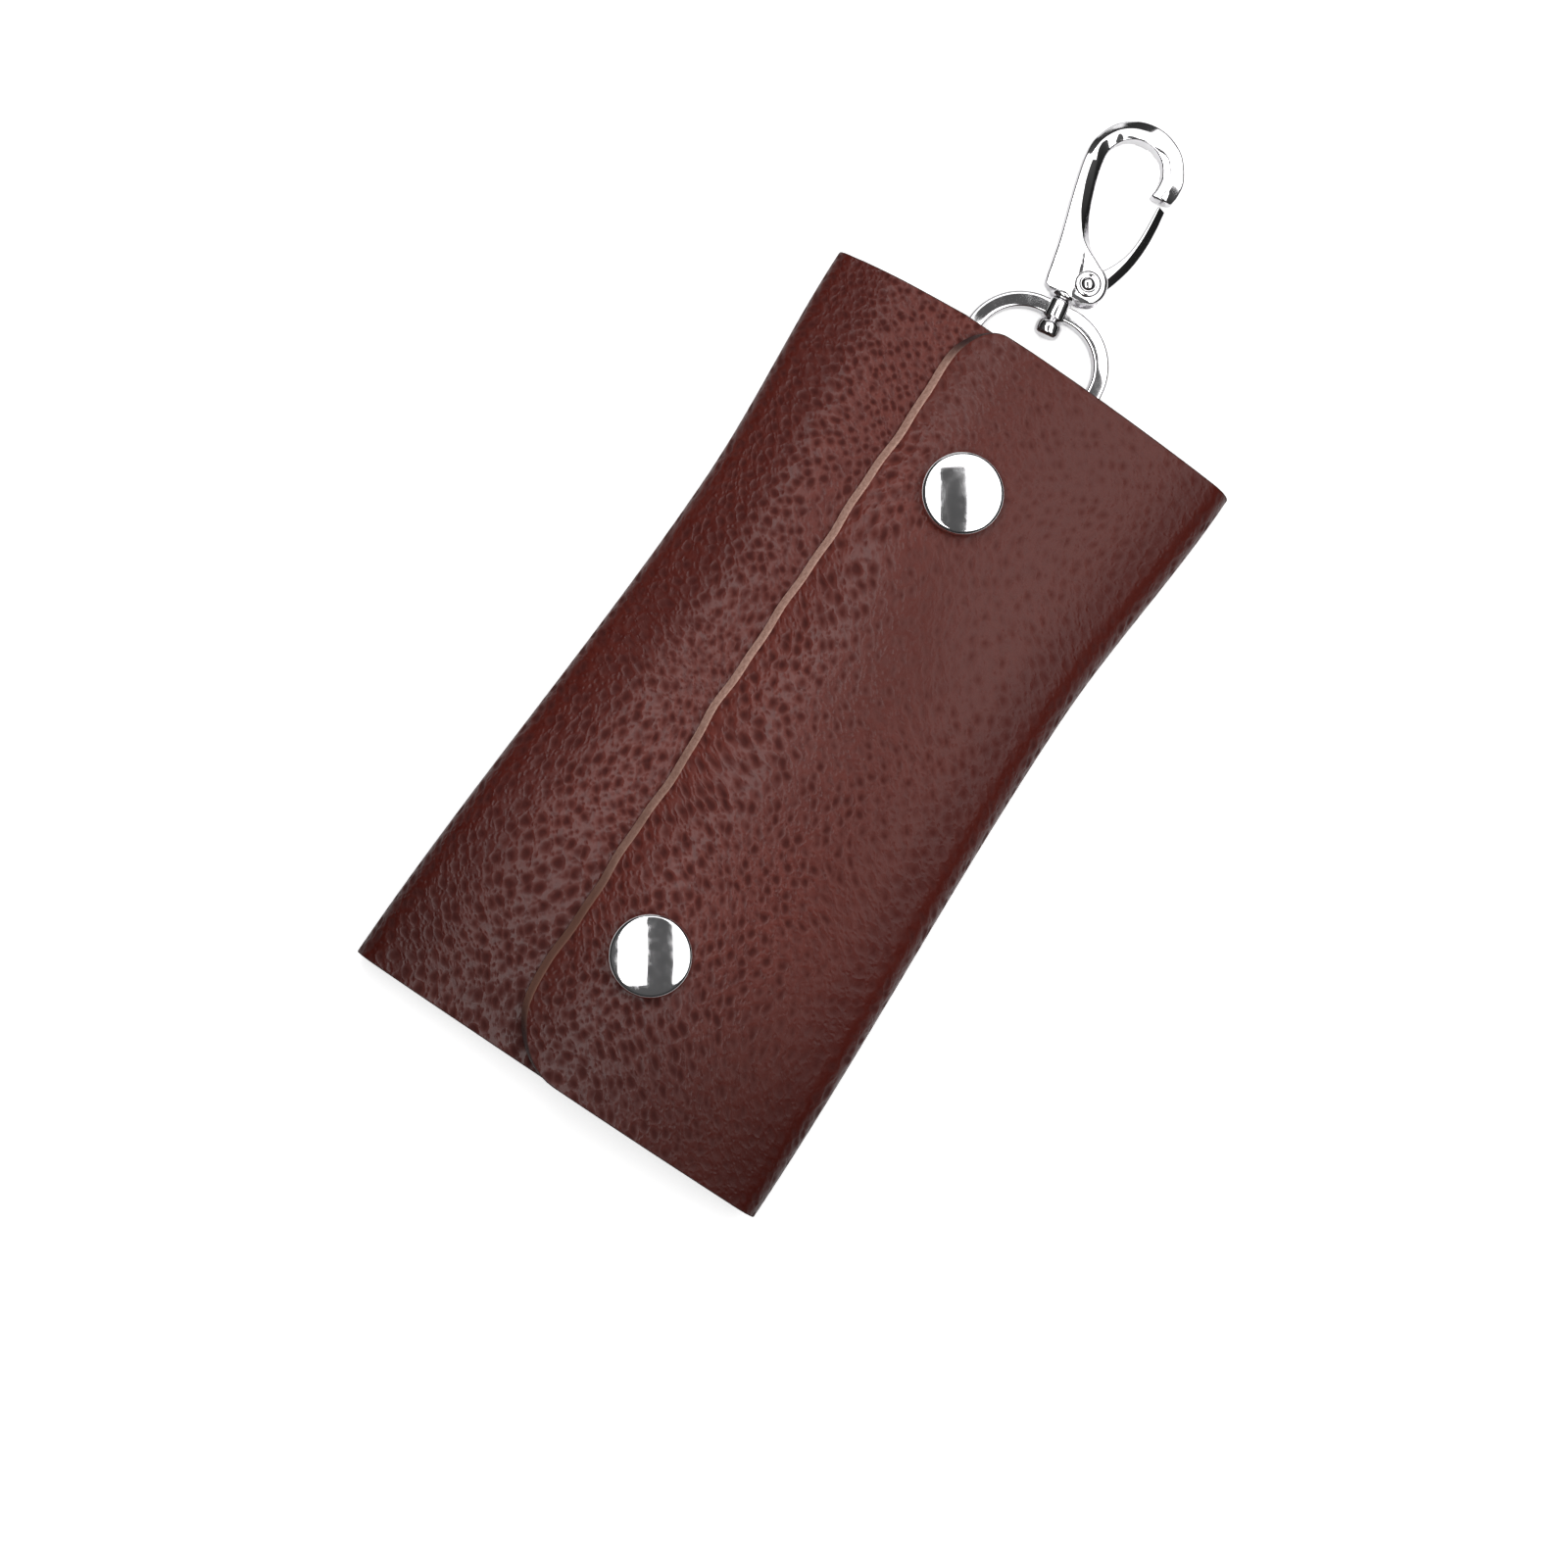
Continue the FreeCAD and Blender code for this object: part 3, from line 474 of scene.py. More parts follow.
def sheetRows(side, inset, endInset):
    # columns share out the hide from side to side; rows crowd into the corners along a quarter circle
    def limits(y):
        n = side["runs"](y)
        return n[side["from"]] if side["from"] else 0 * y, n[side["to"]]

    u = np.linspace(0, 1, leather["columns"])
    first, last = limits(np.array([halfLength]))
    high = side["topOf"](first + u * (last - inset - first)) - endInset
    low = np.full_like(high, -halfLength + endInset)
    if "corners" in side:
        phi = np.linspace(0, quarterTurn, leather["cornerRows"])
        lowStep, topStep = ((r - endInset) * (1 - np.cos(phi)) for r in side["corners"])
        lowPull, topPull = ((r - inset) * (1 - np.sin(phi)) for r in side["corners"])
        mid = np.linspace(0, 1, leather["middleRows"])[1:-1, None]
        bottomRows = low + lowStep[:, None]
        topRows = (high - topStep[:, None])[::-1]
        y = join([bottomRows, bottomRows[-1] + mid * (topRows[0] - bottomRows[-1]), topRows])
        pull = join([lowPull, np.zeros(len(mid)), topPull[::-1]])[:, None] + inset
        # a hand-cut edge wanders: two sine waves along the case, and a drift outwards above the middle
        sines = sum(share * np.sin(turn * y + start) for share, turn, start in wander["sines"])
        drifts = sum(share * smoothStep(a, b, y) for share, a, b in wander["drifts"])
        pull = pull + side["wave"] * sines - side["drift"] * drifts
    else:
        y = low + np.linspace(0, 1, leather["backRows"])[:, None] * (high - low)
        pull = 0 * y
    start, end = limits(y)
    return start + u * (end - pull - start), y


def rimLine(a):
    # bottom row, free side and top row of a grid as one line
    return join([a[0], a[1:-1, -1], a[-1, ::-1]])


rim = {
    # how far in from the cut line along the side, how deep, and how far in at the ends, as shares
    "side": [1.0, 0.95, 0.88, 0.7, 0.5, 0.32, 0.16, 0.05, 0.02, 0.1],
    "depth": [0.0, 0.012, 0.05, 0.24, 0.46, 0.68, 0.86, 0.95, 0.985, 1.0],
    "end": [1.0, 0.62, 0.3, 0.08, 0.0, 0.0, 0.06, 0.3, 0.62, 1.0],
    # rows of the rim in pale tan; the deeper rows take the painted shadow finish
    "paleRows": 8,
}


def leatherSheet(name, side, finishes):
    # grain face, flesh face one thickness down, and a skived rim between them
    thick, span = leather["thick"], leather["uvSpan"]
    grids = []

    def cover(s, y, depth, finish):
        points = side["pointOf"](s, y, 0 * s + depth + side["relief"](s, y))
        uv = np.stack([0.5 + side["sign"] * s / span, 0.5 + y / span], axis=-1)
        grids.append(grid(points, finish, uv))

    insets = leather["bevel"] * np.array(rim["side"])
    endInsets = leather["endRound"] * np.array(rim["end"])
    depth = thick * np.array(rim["depth"])[:, None]
    rims = [sheetRows(side, i, e) for i, e in zip(insets, endInsets)]
    (s0, y0), (s1, y1) = rims[0], rims[-1]
    cover(s0, y0, 0.0, 0)
    cover(s1, y1, thick, 2)
    if "corners" in side:
        s, y = (np.array([rimLine(pair[i]) for pair in rims]) for i in (0, 1))
        pale = rim["paleRows"]
        cover(s[:pale], y[:pale], depth[:pale], 1)
        # the lower rows of the free rim get the fourth finish, a painted shadow under the cut edge
        cover(s[pale - 1:], y[pale - 1:], depth[pale - 1:], 3)
    else:
        for row in (0, -1):
            s, y = (np.array([pair[i][row] for pair in rims]) for i in (0, 1))
            cover(s, y, depth, 1)
    for column in ((0,) if "corners" in side else (0, -1)):  # the sides that meet the next sheet
        s, y = np.array([s0[:, column], s1[:, column]]), np.array([y0[:, column], y1[:, column]])
        cover(s, y, np.array([[0.0], [thick]]), 2)
    return makePiece(name, grids, finishes, leather["sharp"])


def hideMm(tree):
    # the hide's own map in mm: u across it from the middle of the back, v along the case
    uv = add(tree, "UVMap", {"uv_map": "UVMap"}).outputs[0]
    span = leather["uvSpan"]
    flat = feed(uv, "Mapping", Location=(-span / 2, -span / 2, 0), Scale=(span, span, 1))[0]
    parts = feed(flat, "SeparateXYZ")
    return flat, parts[0], parts[1]


grain = {
    # lean of the pits; scale and reach of the warps
    "turn": 40.0, "flow": (0.03, 10.0), "jitter": (0.55, 0.8),
    # scale per mm across and along, then how far from its middle a pit starts to fade and is gone
    "long": ((0.56, 0.37), 0.02, 0.46), "round": ((0.62, 0.58), 0.02, 0.48),
    "fine": ((1.2, 0.85), 0.03, 0.40), "fineShare": 0.40, "spread": 0.72,
    "depths": (0.0, 0.7, 0.45, 1.0), "streak": (1.1, 0.5),
    "redDark": (0.120, 0.0232, 0.0166), "redLight": (0.140, 0.0285, 0.0205),
    "streakRed": (0.096, 0.0160, 0.0114), "pitRed": (0.036, 0.0030, 0.0018),
    # the fold and low reds are painted shade, for the folds and the lower end
    "calmRed": (0.094, 0.0186, 0.0134), "foldShadeRed": (0.052, 0.0042, 0.0026), "lowShadeRed": (0.030, 0.0036, 0.0022),
    # from and to in mm across (u) or along (v) the hide, then the value at each where it isn't 0 and 1
    "roundU": (-40.0, -34.0, 1.0, 0.0), "roundV": (-16.0, 14.0),
    "calmU": (64.0, 78.0, 1.0, 0.0), "calmV": (-22.0, 22.0), "calmFold": (50.0, 63.0, 0.75, 0.0),
    "calmTop": (36.0, 50.0, 0.0, 0.8), "calmStart": (36.0, 44.0), "calm": 0.62, "calmDye": 0.75,
    # the fold and low reaches fade that painted shade in towards the folds and the lower end
    "foldAt": 41.0, "foldShadeReach": (3.0, 10.0, 0.5, 0.0), "lowShadeReach": (-60.0, -24.0, 0.55, 0.0),
    "pitDye": (0.0, 0.9, 0.0, 0.76), "pitDull": (0.0, 0.6, 0.25, 0.7), "streakDull": 0.08,
    "pitDeep": -0.6, "streakHigh": 0.18, "bump": (0.9, 0.0003), "specular": 0.22,
}


def grainFinish(name):
    # pebbles between dark pits: drawn out over most of the hide, rounder high on the inner flap and calm
    # high on the outer flap; painted shade darkens the hide along the folds and at the lower end
    finish, tree = newFinish(name)
    flat, u, v = hideMm(tree)
    lean = feed(flat, "Mapping", Rotation=(0, 0, math.radians(grain["turn"])))[0]

    def warped(start, scale, reach):
        push = noise(flat, "2D", scale, 1.0, "Color")
        return math2("MULTIPLY_ADD", push, (reach, reach, 0), start, kind="VectorMath")

    flowed = warped(warped(lean, *grain["flow"]), *grain["jitter"])

    def stretched(scales):
        return feed(flowed, "Mapping", Scale=(*scales, 1))[0]

    def pits(scales, low, high):
        distance, colour = cells(stretched(scales), "2D", Scale=1.0, Randomness=grain["spread"])
        pick = feed(colour, "SeparateColor")[0]
        return both(remap(distance, low, high, 1.0, 0.0, False), remap(pick, *grain["depths"], False))

    highLeft = both(remap(u, *grain["roundU"]), remap(v, *grain["roundV"]))
    drawn, dots = pits(*grain["long"]), pits(*grain["round"])
    coarse = math2("MULTIPLY_ADD", math2("SUBTRACT", dots, drawn), highLeft, drawn)
    pit = most(coarse, both(pits(*grain["fine"]), grain["fineShare"]))
    calm = most(both(remap(u, *grain["calmU"]), remap(v, *grain["calmV"])),
                most(remap(u, *grain["calmFold"]), remap(v, *grain["calmTop"])))
    calm = both(calm, remap(u, *grain["calmStart"]))
    pit = both(pit, math2("MULTIPLY_ADD", calm, -grain["calm"], 1.0))
    streak = noise(stretched(grain["streak"]), "2D", 1.0, 4.0, Roughness=0.55)
    cloud = noise(flat, "2D", 0.045, 3.0)
    top = mix(remap(cloud, 0.3, 0.7), grain["redDark"], grain["redLight"])
    top = mix(remap(streak, 0.3, 0.62), grain["streakRed"], top)
    top = mix(both(calm, grain["calmDye"]), top, grain["calmRed"])
    top = mix(remap(pit, *grain["pitDye"]), top, grain["pitRed"])
    # painted shade: darker towards both folds and towards the lower end, where the light falls away
    away = math2("ABSOLUTE", math2("SUBTRACT", math2("ABSOLUTE", u), grain["foldAt"]))
    top = mix(remap(away, *grain["foldShadeReach"]), top, grain["foldShadeRed"])
    top = mix(remap(v, *grain["lowShadeReach"]), top, grain["lowShadeRed"])
    dull = math2("ADD", remap(pit, *grain["pitDull"]), both(streak, grain["streakDull"]))
    height = math2("MULTIPLY_ADD", pit, grain["pitDeep"], both(streak, grain["streakHigh"]))
    return dress(finish, {"Base Color": top, "Roughness": dull, "Normal": bump(height, *grain["bump"]),
                          "Specular IOR Level": grain["specular"]})


rawEdge = {
    "light": (0.66, 0.41, 0.33), "mid": (0.46, 0.25, 0.195), "worn": (0.19, 0.086, 0.059),
    "ends": (0.040, 0.012, 0.010), "endsFrom": (53.0, 59.0), "dulledFrom": (-30.0, 16.0), "patchReach": 30.0,
    "roughness": 0.72, "bump": (0.5, 0.00015),
}


def rawEdgeFinish(name, pale):
    # fibres on the skived cut: pale tan, darker towards the lower end and dark at both ends
    finish, tree = newFinish(name)
    flat, v = hideMm(tree)[::2]
    # pale scales every tone; at a tenth it makes the painted shadow for the edge's lower rows
    light, mid, worn = (tuple(c * pale for c in rawEdge[k]) for k in ("light", "mid", "worn"))
    fibre = noise(flat, "2D", 1.6, 6.0, Roughness=0.7)
    patchy = noise(flat, "2D", 0.16, 3.0)
    patchedAlong = math2("MULTIPLY_ADD", patchy, rawEdge["patchReach"], v)
    tan = mix(remap(fibre, 0.3, 0.7), mid, light)
    # the tan turns darker towards the lower end, in patches
    tan = mix(remap(patchedAlong, *rawEdge["dulledFrom"]), worn, tan)
    ends = remap(math2("ABSOLUTE", v), *rawEdge["endsFrom"])
    return dress(finish, {"Base Color": mix(ends, tan, rawEdge["ends"]), "Roughness": rawEdge["roughness"],
                          "Normal": bump(fibre, *rawEdge["bump"])})


flesh = {"dull": (0.135, 0.075, 0.058), "bright": (0.20, 0.115, 0.090), "between": (0.10, 0.052, 0.040),
         "roughness": 0.92, "sheen": 0.25, "bump": (0.6, 0.0002)}


def fleshFinish():
    # the napped inside of the hide: short matted fibres in a duller tan
    finish, tree = newFinish("napLeather")
    flat = hideMm(tree)[0]
    nap = noise(flat, "2D", 2.4, 6.0, Roughness=0.75)
    brushed = noise(flat, "2D", 0.09, 3.0)
    tone = mix(remap(brushed, 0.3, 0.7), flesh["dull"], flesh["bright"])
    tone = mix(remap(nap, 0.35, 0.7), flesh["between"], tone)
    return dress(finish, {"Base Color": tone, "Roughness": flesh["roughness"], "Sheen Weight": flesh["sheen"],
                          "Normal": bump(nap, *flesh["bump"])})


# the fourth finish is the raw edge at a tenth of its tone: painted shadow in the gap under the outer flap's
# free edge
hide = [grainFinish("pebbledLeather"), rawEdgeFinish("rawLeatherEdge", 1.0), fleshFinish(),
        rawEdgeFinish("paintedShadowEdge", 0.1)]


def foldLine(name, side, before, after):
    # start and end of the bend, in mm along the hide before and after a crease, clear of the next sheet
    at = np.array(joints[name]["pos_m"])
    step = np.array([side, 0, 1]) * math.sqrt(0.5) * mm
    return {"start": tuple(map(float, at - step * before)), "end": tuple(map(float, at + step * after))}


outerSide = {"pointOf": outerPoint, "runs": outerRuns, "relief": outerRelief, "topOf": outerTop, "sign": 1}
innerSide = {"pointOf": innerPoint, "runs": innerRuns, "relief": innerRelief, "topOf": innerTop, "sign": -1}
backPart = {"from": None, "to": "seam"}
flapPart = {"from": "seam", "to": "edge"}
outerPart = flapPart | {"corners": leather["outerCorners"], "wave": 0.13, "drift": 0.7}
innerPart = flapPart | {"corners": leather["innerCorners"], "wave": 0.0, "drift": 0.0}
sheets = [
    ("outerBackHide", outerSide | backPart, ("case_back", "outer_spine"),
     foldLine("outer_fold_lower", 1, 2.0, 2.0), ("back_panel", "outer_spine")),
    ("outerFlapHide", outerSide | outerPart, ("outer_spine", "outer_flap"),
     foldLine("outer_fold_upper", -1, 1.0, 3.0), ("outer_flap",)),
    ("innerBackHide", innerSide | backPart, ("case_back", "inner_spine"),
     foldLine("inner_fold_lower", -1, 1.9, 1.5), ("inner_spine",)),
    ("innerFlapHide", innerSide | innerPart, ("inner_spine", "inner_flap"),
     foldLine("inner_fold_upper", 1, 0.4, 2.8), ("inner_flap",)),
]
for name, side, bodies, line, nodes in sheets:
    piece = leatherSheet(name, side, hide)
    ends = side["runs"](np.array([-halfLength, 0.0, halfLength]))
    wide = float(np.mean(ends[side["to"]] - (ends[side["from"]] if side["from"] else 0)))
    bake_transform(piece)
    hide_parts(*nodes)
    faces = len(piece.data.polygons)
    print("hide:", name, "flat", round(wide, 1), "by", leather["length"], "mm,", faces, "faces")


# Metal finishes

chromeLook = {"dark": (0.83, 0.82, 0.84), "light": (0.90, 0.89, 0.90), "rubbed": (0.35, 0.75, 0.045, 0.10),
              "clouded": (0.4, 0.7, 0.0, 0.05), "bump": (0.012, 0.0002)}
nickelLook = {"dark": (0.63, 0.605, 0.565), "light": (0.70, 0.68, 0.64), "lines": (4200, 260, 4200),
              "rubbed": (0.3, 0.7, 0.23, 0.31), "bump": (0.035, 0.00008)}


def chromeFinish():
    # polished plate: a hair of wear in the roughness and a faint ripple
    finish, tree = newFinish("polishedChrome")
    where = add(tree, "TexCoord").outputs["Object"]
    rub = noise(where, "3D", 900.0, 4.0)
    cloud = noise(where, "3D", 160.0, 3.0)
    worn = math2("ADD", remap(rub, *chromeLook["rubbed"]), remap(cloud, *chromeLook["clouded"]))
    tone = mix(cloud, chromeLook["dark"], chromeLook["light"])
    return dress(finish, {"Base Color": tone, "Roughness": worn, "Metallic": 1.0,
                          "Normal": bump(cloud, *chromeLook["bump"])})


def nickelFinish():
    # plated steel pressings: fine drawn lines along the case and a warmer tone
    finish, tree = newFinish("drawnNickel")
    where = add(tree, "TexCoord").outputs["Object"]
    line = noise(feed(where, "Mapping", Scale=nickelLook["lines"])[0], "3D", 1.0, 3.0)
    cloud = remap(noise(where, "3D", 220.0, 4.0), 0.35, 0.7)
    tone = mix(cloud, nickelLook["dark"], nickelLook["light"])
    return dress(finish, {"Base Color": tone, "Roughness": remap(line, *nickelLook["rubbed"]),
                          "Metallic": 1.0, "Normal": bump(line, *nickelLook["bump"])})


plating = {"chrome": chromeFinish(), "nickel_steel": nickelFinish()}


def settle(piece, body, node):
    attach(piece, body)
    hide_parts(node)


def addMetal(name, grids, sharp, body, slot, node):
    settle(makePiece(name, grids, [plating[slot]], sharp), body, node)


# Snap caps

snapCap = {"radius": 6.0, "rim": 0.7, "dome": 1.9, "fall": 0.62, "curve": 2.0, "roll": 0.75, "rollEnd": -70.0,
           "seat": 0.7, "foot": 0.15, "slopeStep": 1.4, "upperLean": (0.8, -2.5), "lowerLean": (1.4, 4.0)}


def capProfile():
    # a shallow dome that falls with a power of the radius, is rolled over at its edge and sunk into the hide
    top = snapCap["rim"] + snapCap["dome"]
    roll, edge = snapCap["roll"], snapCap["radius"] - 0.6 * snapCap["roll"]
    slope = math.atan(snapCap["fall"] * snapCap["curve"] / edge)
    r = np.linspace(0, snapCap["radius"] - roll * (1 - math.sin(slope)), 30)
    dome = pairs(r, top - snapCap["fall"] * (r / edge) ** snapCap["curve"])
    b = np.linspace(quarterTurn - slope, math.radians(snapCap["rollEnd"]), 18)
    bead = pairs(roll * np.cos(b), roll * np.sin(b))
    bead += dome[-1] - bead[0]
    foot = np.array([[bead[-1, 0] - snapCap["foot"], -snapCap["seat"]], [0.0, -snapCap["seat"]]])
    return join([dome, bead[1:], foot])


for level, capY in (("upper", leather["snapY"]), ("lower", -leather["snapY"])):
    step = snapCap["slopeStep"]
    before, at, after = (float(h) for h in crownHeight(np.array([capY - step, capY, capY + step])))
    roll, pitch = np.radians(snapCap[level + "Lean"])  # each cap sits a little askew on the hide
    lean = math.atan((after - before) / (2 * step)) - pitch
    across, up = np.array([1.0, 0.0, 0.0]), np.array([0.0, -math.sin(lean), math.cos(lean)])
    place = makePlace((leather["snapX"], capY, at - leather["press"]),
                      across * math.cos(roll) - up * math.sin(roll), (0, math.cos(lean), math.sin(lean)),
                      up * math.cos(roll) + across * math.sin(roll))
    dome = turned(capProfile(), place, 128)
    addMetal(level + "SnapDome", [dome], 70.0, "outer_flap", "chrome", level + "_snap_cap")
print("snap domes made")


# Ring, swivel and hook

tilt, swivel, gateHinge = joints["ring_tilt"], joints["hook_swivel"], joints["hook_gate_hinge"]
barAxis, runAxis = np.array(tilt["axis"]), np.array(swivel["axis"])
hookUp = np.cross(barAxis, runAxis)
ringPlace, hookPlace, pinPlace = (
    makePlace(np.array(joint["pos_m"]) / mm, barAxis, runAxis, hookUp) for joint in (tilt, swivel, gateHinge))
stemPlace = makePlace(hookPlace["origin"], barAxis, -hookUp, runAxis)  # local z along the swivel axis

dRing = {
    "wire": 1.2, "half": 11.3, "height": 14.4, "corner": 2.4, "bow": 8.0,
    "boss": 1.85, "bossHalf": 1.6, "bossLip": 0.4, "bore": 1.11,
    "round": 2.0, "square": 6.0, "squareFrom": (1.5, 5.0),
    "bend": 0.028, "bendFrom": 1.5, "bendEase": 1.0, "bendRise": (3.0, 9.0),
    "legLean": 0.07, "legTop": (9.5, 7.0), "legSide": (6.0, 9.0), "legFoot": (1.5, 4.0),
    "barSteps": 14, "cornerSteps": 22, "legSteps": 8, "bowSteps": 30, "sectionSteps": 48,
}


def ringPath():
    # bar, two small corners, two legs, two wide shoulders and the short top run, as one closed line
    w = dRing["half"] - dRing["wire"]
    c, b, h = dRing["corner"], dRing["bow"], dRing["height"]
    bar = np.linspace(0, w - c, dRing["barSteps"])
    turn = np.linspace(0, quarterTurn, dRing["cornerSteps"])[1:]
    leg = np.linspace(c, h - b, dRing["legSteps"])[1:-1]
    bow = np.linspace(0, quarterTurn, dRing["bowSteps"])
    right = join([
        pairs(bar, 0.0),
        pairs(w - c + c * np.sin(turn), c - c * np.cos(turn)),
        pairs(w, leg),
        pairs(w - b + b * np.cos(bow), h - b + b * np.sin(bow))])
    left = right[::-1] * np.array([-1, 1])
    return join([right, [[0, h]], left[:-1]])


def ringWire():
    # point = path + outward * r q, z = r z, with a section that is round at the bar and squared in the bow
    # the left half of the bow is bent down: z falls evenly to the left; the right leg's section leans
    path = ringPath()
    along = np.roll(path, -1, 0) - np.roll(path, 1, 0)
    along /= np.linalg.norm(along, axis=1)[:, None]
    out = pairs(along[:, 1], -along[:, 0])
    x, y = path[:, :1], path[:, 1:]
    power = dRing["round"] + (dRing["square"] - dRing["round"]) * smoothStep(*dRing["squareFrom"], y)
    q, z = roundBox(dRing["sectionSteps"], power)
    flat = path[:, None, :] + out[:, None, :] * (dRing["wire"] * q)[..., None]
    leg = smoothStep(*dRing["legTop"], y) * smoothStep(*dRing["legSide"], x)
    leg = leg * smoothStep(*dRing["legFoot"], y)
    fall = onset(dRing["bendFrom"] - flat[..., 0], dRing["bendEase"])
    fall = fall * smoothStep(*dRing["bendRise"], flat[..., 1])
    z = dRing["wire"] * (z + q * leg * dRing["legLean"]) - dRing["bend"] * fall
    closed = np.arange(len(path) + 1) % len(path)
    return swept(flat[closed], z[closed], ringPlace)


def bossProfile():
    # a barrel round the swivel's stem, with rounded lips
    h, b = dRing["bossHalf"], dRing["bore"]
    return join([[[b, -h]], drumSide(dRing["boss"], h, dRing["bossLip"], 7), [[b, h], [b, -h]]])


boss = turned(bossProfile(), stemPlace, 56)
addMetal("dRingWire", [ringWire(), boss], 60.0, "d_ring", "chrome", "d_ring")

hook = {
    "outer": [(-2.6, 2.6), (-3.25, 3.0), (-3.5, 4.2), (-3.62, 5.6), (-3.8, 7.4), (-4.05, 9.6), (-4.45, 12.2),
              (-5.05, 15.6), (-5.65, 19.6), (-5.95, 22.8), (-5.68, 25.84), (-3.70, 29.20), (-0.34, 31.14),
              (3.54, 31.14), (6.90, 29.20), (8.84, 25.84), (9.02, 23.4), (8.72, 21.9)],
    "inner": [(3.0, 2.3), (4.4, 2.9), (5.25, 4.2), (5.35, 5.7), (4.7, 7.4), (2.6, 8.9), (0.4, 11.0),
              (-1.35, 14.6), (-2.5, 19.0), (-3.0, 22.6), (-2.95, 25.04), (-1.81, 27.01), (0.16, 28.15),
              (2.44, 28.15), (4.41, 27.01), (5.55, 25.04), (5.68, 23.2), (5.4, 21.8)],
    "half": [1.9] + [2.0] * 4 + [1.95, 1.85, 1.75, 1.65, 1.55] + [1.5] * 7 + [1.45],
    "climb": [0.9, 1.1, 1.15, 1.15, 1.1, 1.05, 0.95, 0.8, 0.7, 0.65, 0.65, 0.6, 0.55, 0.45, 0.4, 0.4, 0.5,
              0.6],
    "drop": [0.3] * 4 + [0.4, 0.5, 1.1, 1.25, 1.25, 1.22, 1.0, 0.2, 0.03, 0.03] + [0.4] * 4,
    "slot": [4.2, 5.4, 5.8, 5.8, 5.0, 2.6, 0.3] + [0.01] * 11,
    "climbAngle": [15.0] * 9 + [18.0, 31.0, 27.0, 20.0, 13.0, 10.0, 10.0, 16.0, 28.0],
    "dropAngle": [32.0] * 10 + [30.0, 11.0, 12.0, 20.0] + [18.0] * 4,
    "round": 0.22, "slotHalf": 1.2, "caps": (0.35, 0.6), "rows": 260,
    "stem": 1.05, "head": 1.9, "headTall": 1.25, "headY": -2.98, "headPowers": (0.45, 0.6), "headEnd": 80.0,
    "collar": 2.05, "collarLow": 1.66, "collarHigh": 3.0, "collarReach": 1.0, "stemPast": 0.1,
}


def stemProfile():
    # barrel head under the ring's boss, plain stem through it, bead collar, then into the hook
    # the barrel is a circle with its cosine and sine raised to powers below 1, which square it
    q = np.linspace(-quarterTurn, math.radians(hook["headEnd"]), 20)
    widePower, tallPower = hook["headPowers"]
    wide, tall = np.abs(np.cos(q)) ** widePower, np.sign(np.sin(q)) * np.abs(np.sin(q)) ** tallPower
    barrel = pairs(hook["head"] * wide, hook["headY"] + hook["headTall"] * tall)
    low, high, reach, stem = (hook[k] for k in ("collarLow", "collarHigh", "collarReach", "stem"))
    w = np.linspace(-quarterTurn, quarterTurn, 13)
    bead = pairs(hook["collar"] - reach + reach * np.cos(w), (low + high) / 2 + (high - low) / 2 * np.sin(w))
    past = high + hook["stemPast"]
    neck = [[stem, hook["headY"] + hook["headTall"]], [stem, low]]
    return join([barrel, neck, bead, [[stem, past], [0, past]]])


bar, stem = castBar(hook, ("outer", "inner"), hookPlace), turned(stemProfile(), stemPlace, 48)
addMetal("snapHookCast", [bar, stem], 50.0, "snap_hook", "chrome", "snap_hook_body")

gate = {
    "outer": [(3.5, 3.75), (5.0, 5.35), (6.25, 7.7), (7.4, 10.8), (8.1, 14.2), (8.35, 17.4), (8.35, 20.4)],
    "inner": [(1.6, 6.6), (2.9, 7.6), (4.4, 9.3), (5.75, 11.8), (6.5, 14.6), (6.85, 17.6), (7.0, 20.6)],
    "half": [1.1, 1.1, 1.1, 1.1, 1.08, 1.05, 1.0], "climb": [0.08] * 7,
    "drop": [0.95, 0.95, 0.95, 0.95, 0.92, 0.9, 0.86], "slot": [0.01] * 7,
    "climbAngle": [20.0] * 7, "dropAngle": [36.0] * 7, "round": 0.14, "slotHalf": 0.3,
    "caps": (0.3, 0.18), "rows": 90, "hub": (1.9, 1.08, 0.2),  # radius, half its length, edge
}


def hubProfile(r, h, edge):
    # a short drum with rounded edges
    return join([[[0, -h]], drumSide(r, h, edge, 6), [[0, h]]])


lever = castBar(gate, ("inner", "outer"), hookPlace)
hub = turned(hubProfile(*gate["hub"]), pinPlace, 48)
addMetal("gateLever", [lever, hub], 50.0, "hook_gate", "chrome", "hook_gate")

pin = {
    "shank": 0.75, "head": 2.0, "seat": 2.0, "rise": 0.4, "under": 0.2, "chamfer": 0.1,
    # radius, and height over the ring's flat face: dome, groove and rounded rim
    "face": [(0.0, 0.32), (0.35, 0.2976), (0.7, 0.2176), (0.95, 0.02), (1.05, -0.1), (1.18, -0.1), (1.3, 0.0),
             (1.6, 0.02), (1.85, -0.06), (1.97, -0.2)],
}


def pinProfile():
    # a flush ring with a groove and a small dome in its middle, on both cheeks
    s, r = pin["seat"], pin["head"]
    face = np.array(pin["face"]) + [0, s + pin["rise"]]
    low = s - pin["under"]
    cheek = join([face, [[r, s], [r - pin["chamfer"], low], [pin["shank"], low]]])
    return join([cheek, (cheek * [1, -1])[::-1]])


addMetal("gateRivet", [turned(pinProfile(), pinPlace, 56)], 50.0, "snap_hook", "chrome", "gate_pin")
print("ring, hook, gate and rivet made")


# Ring tab

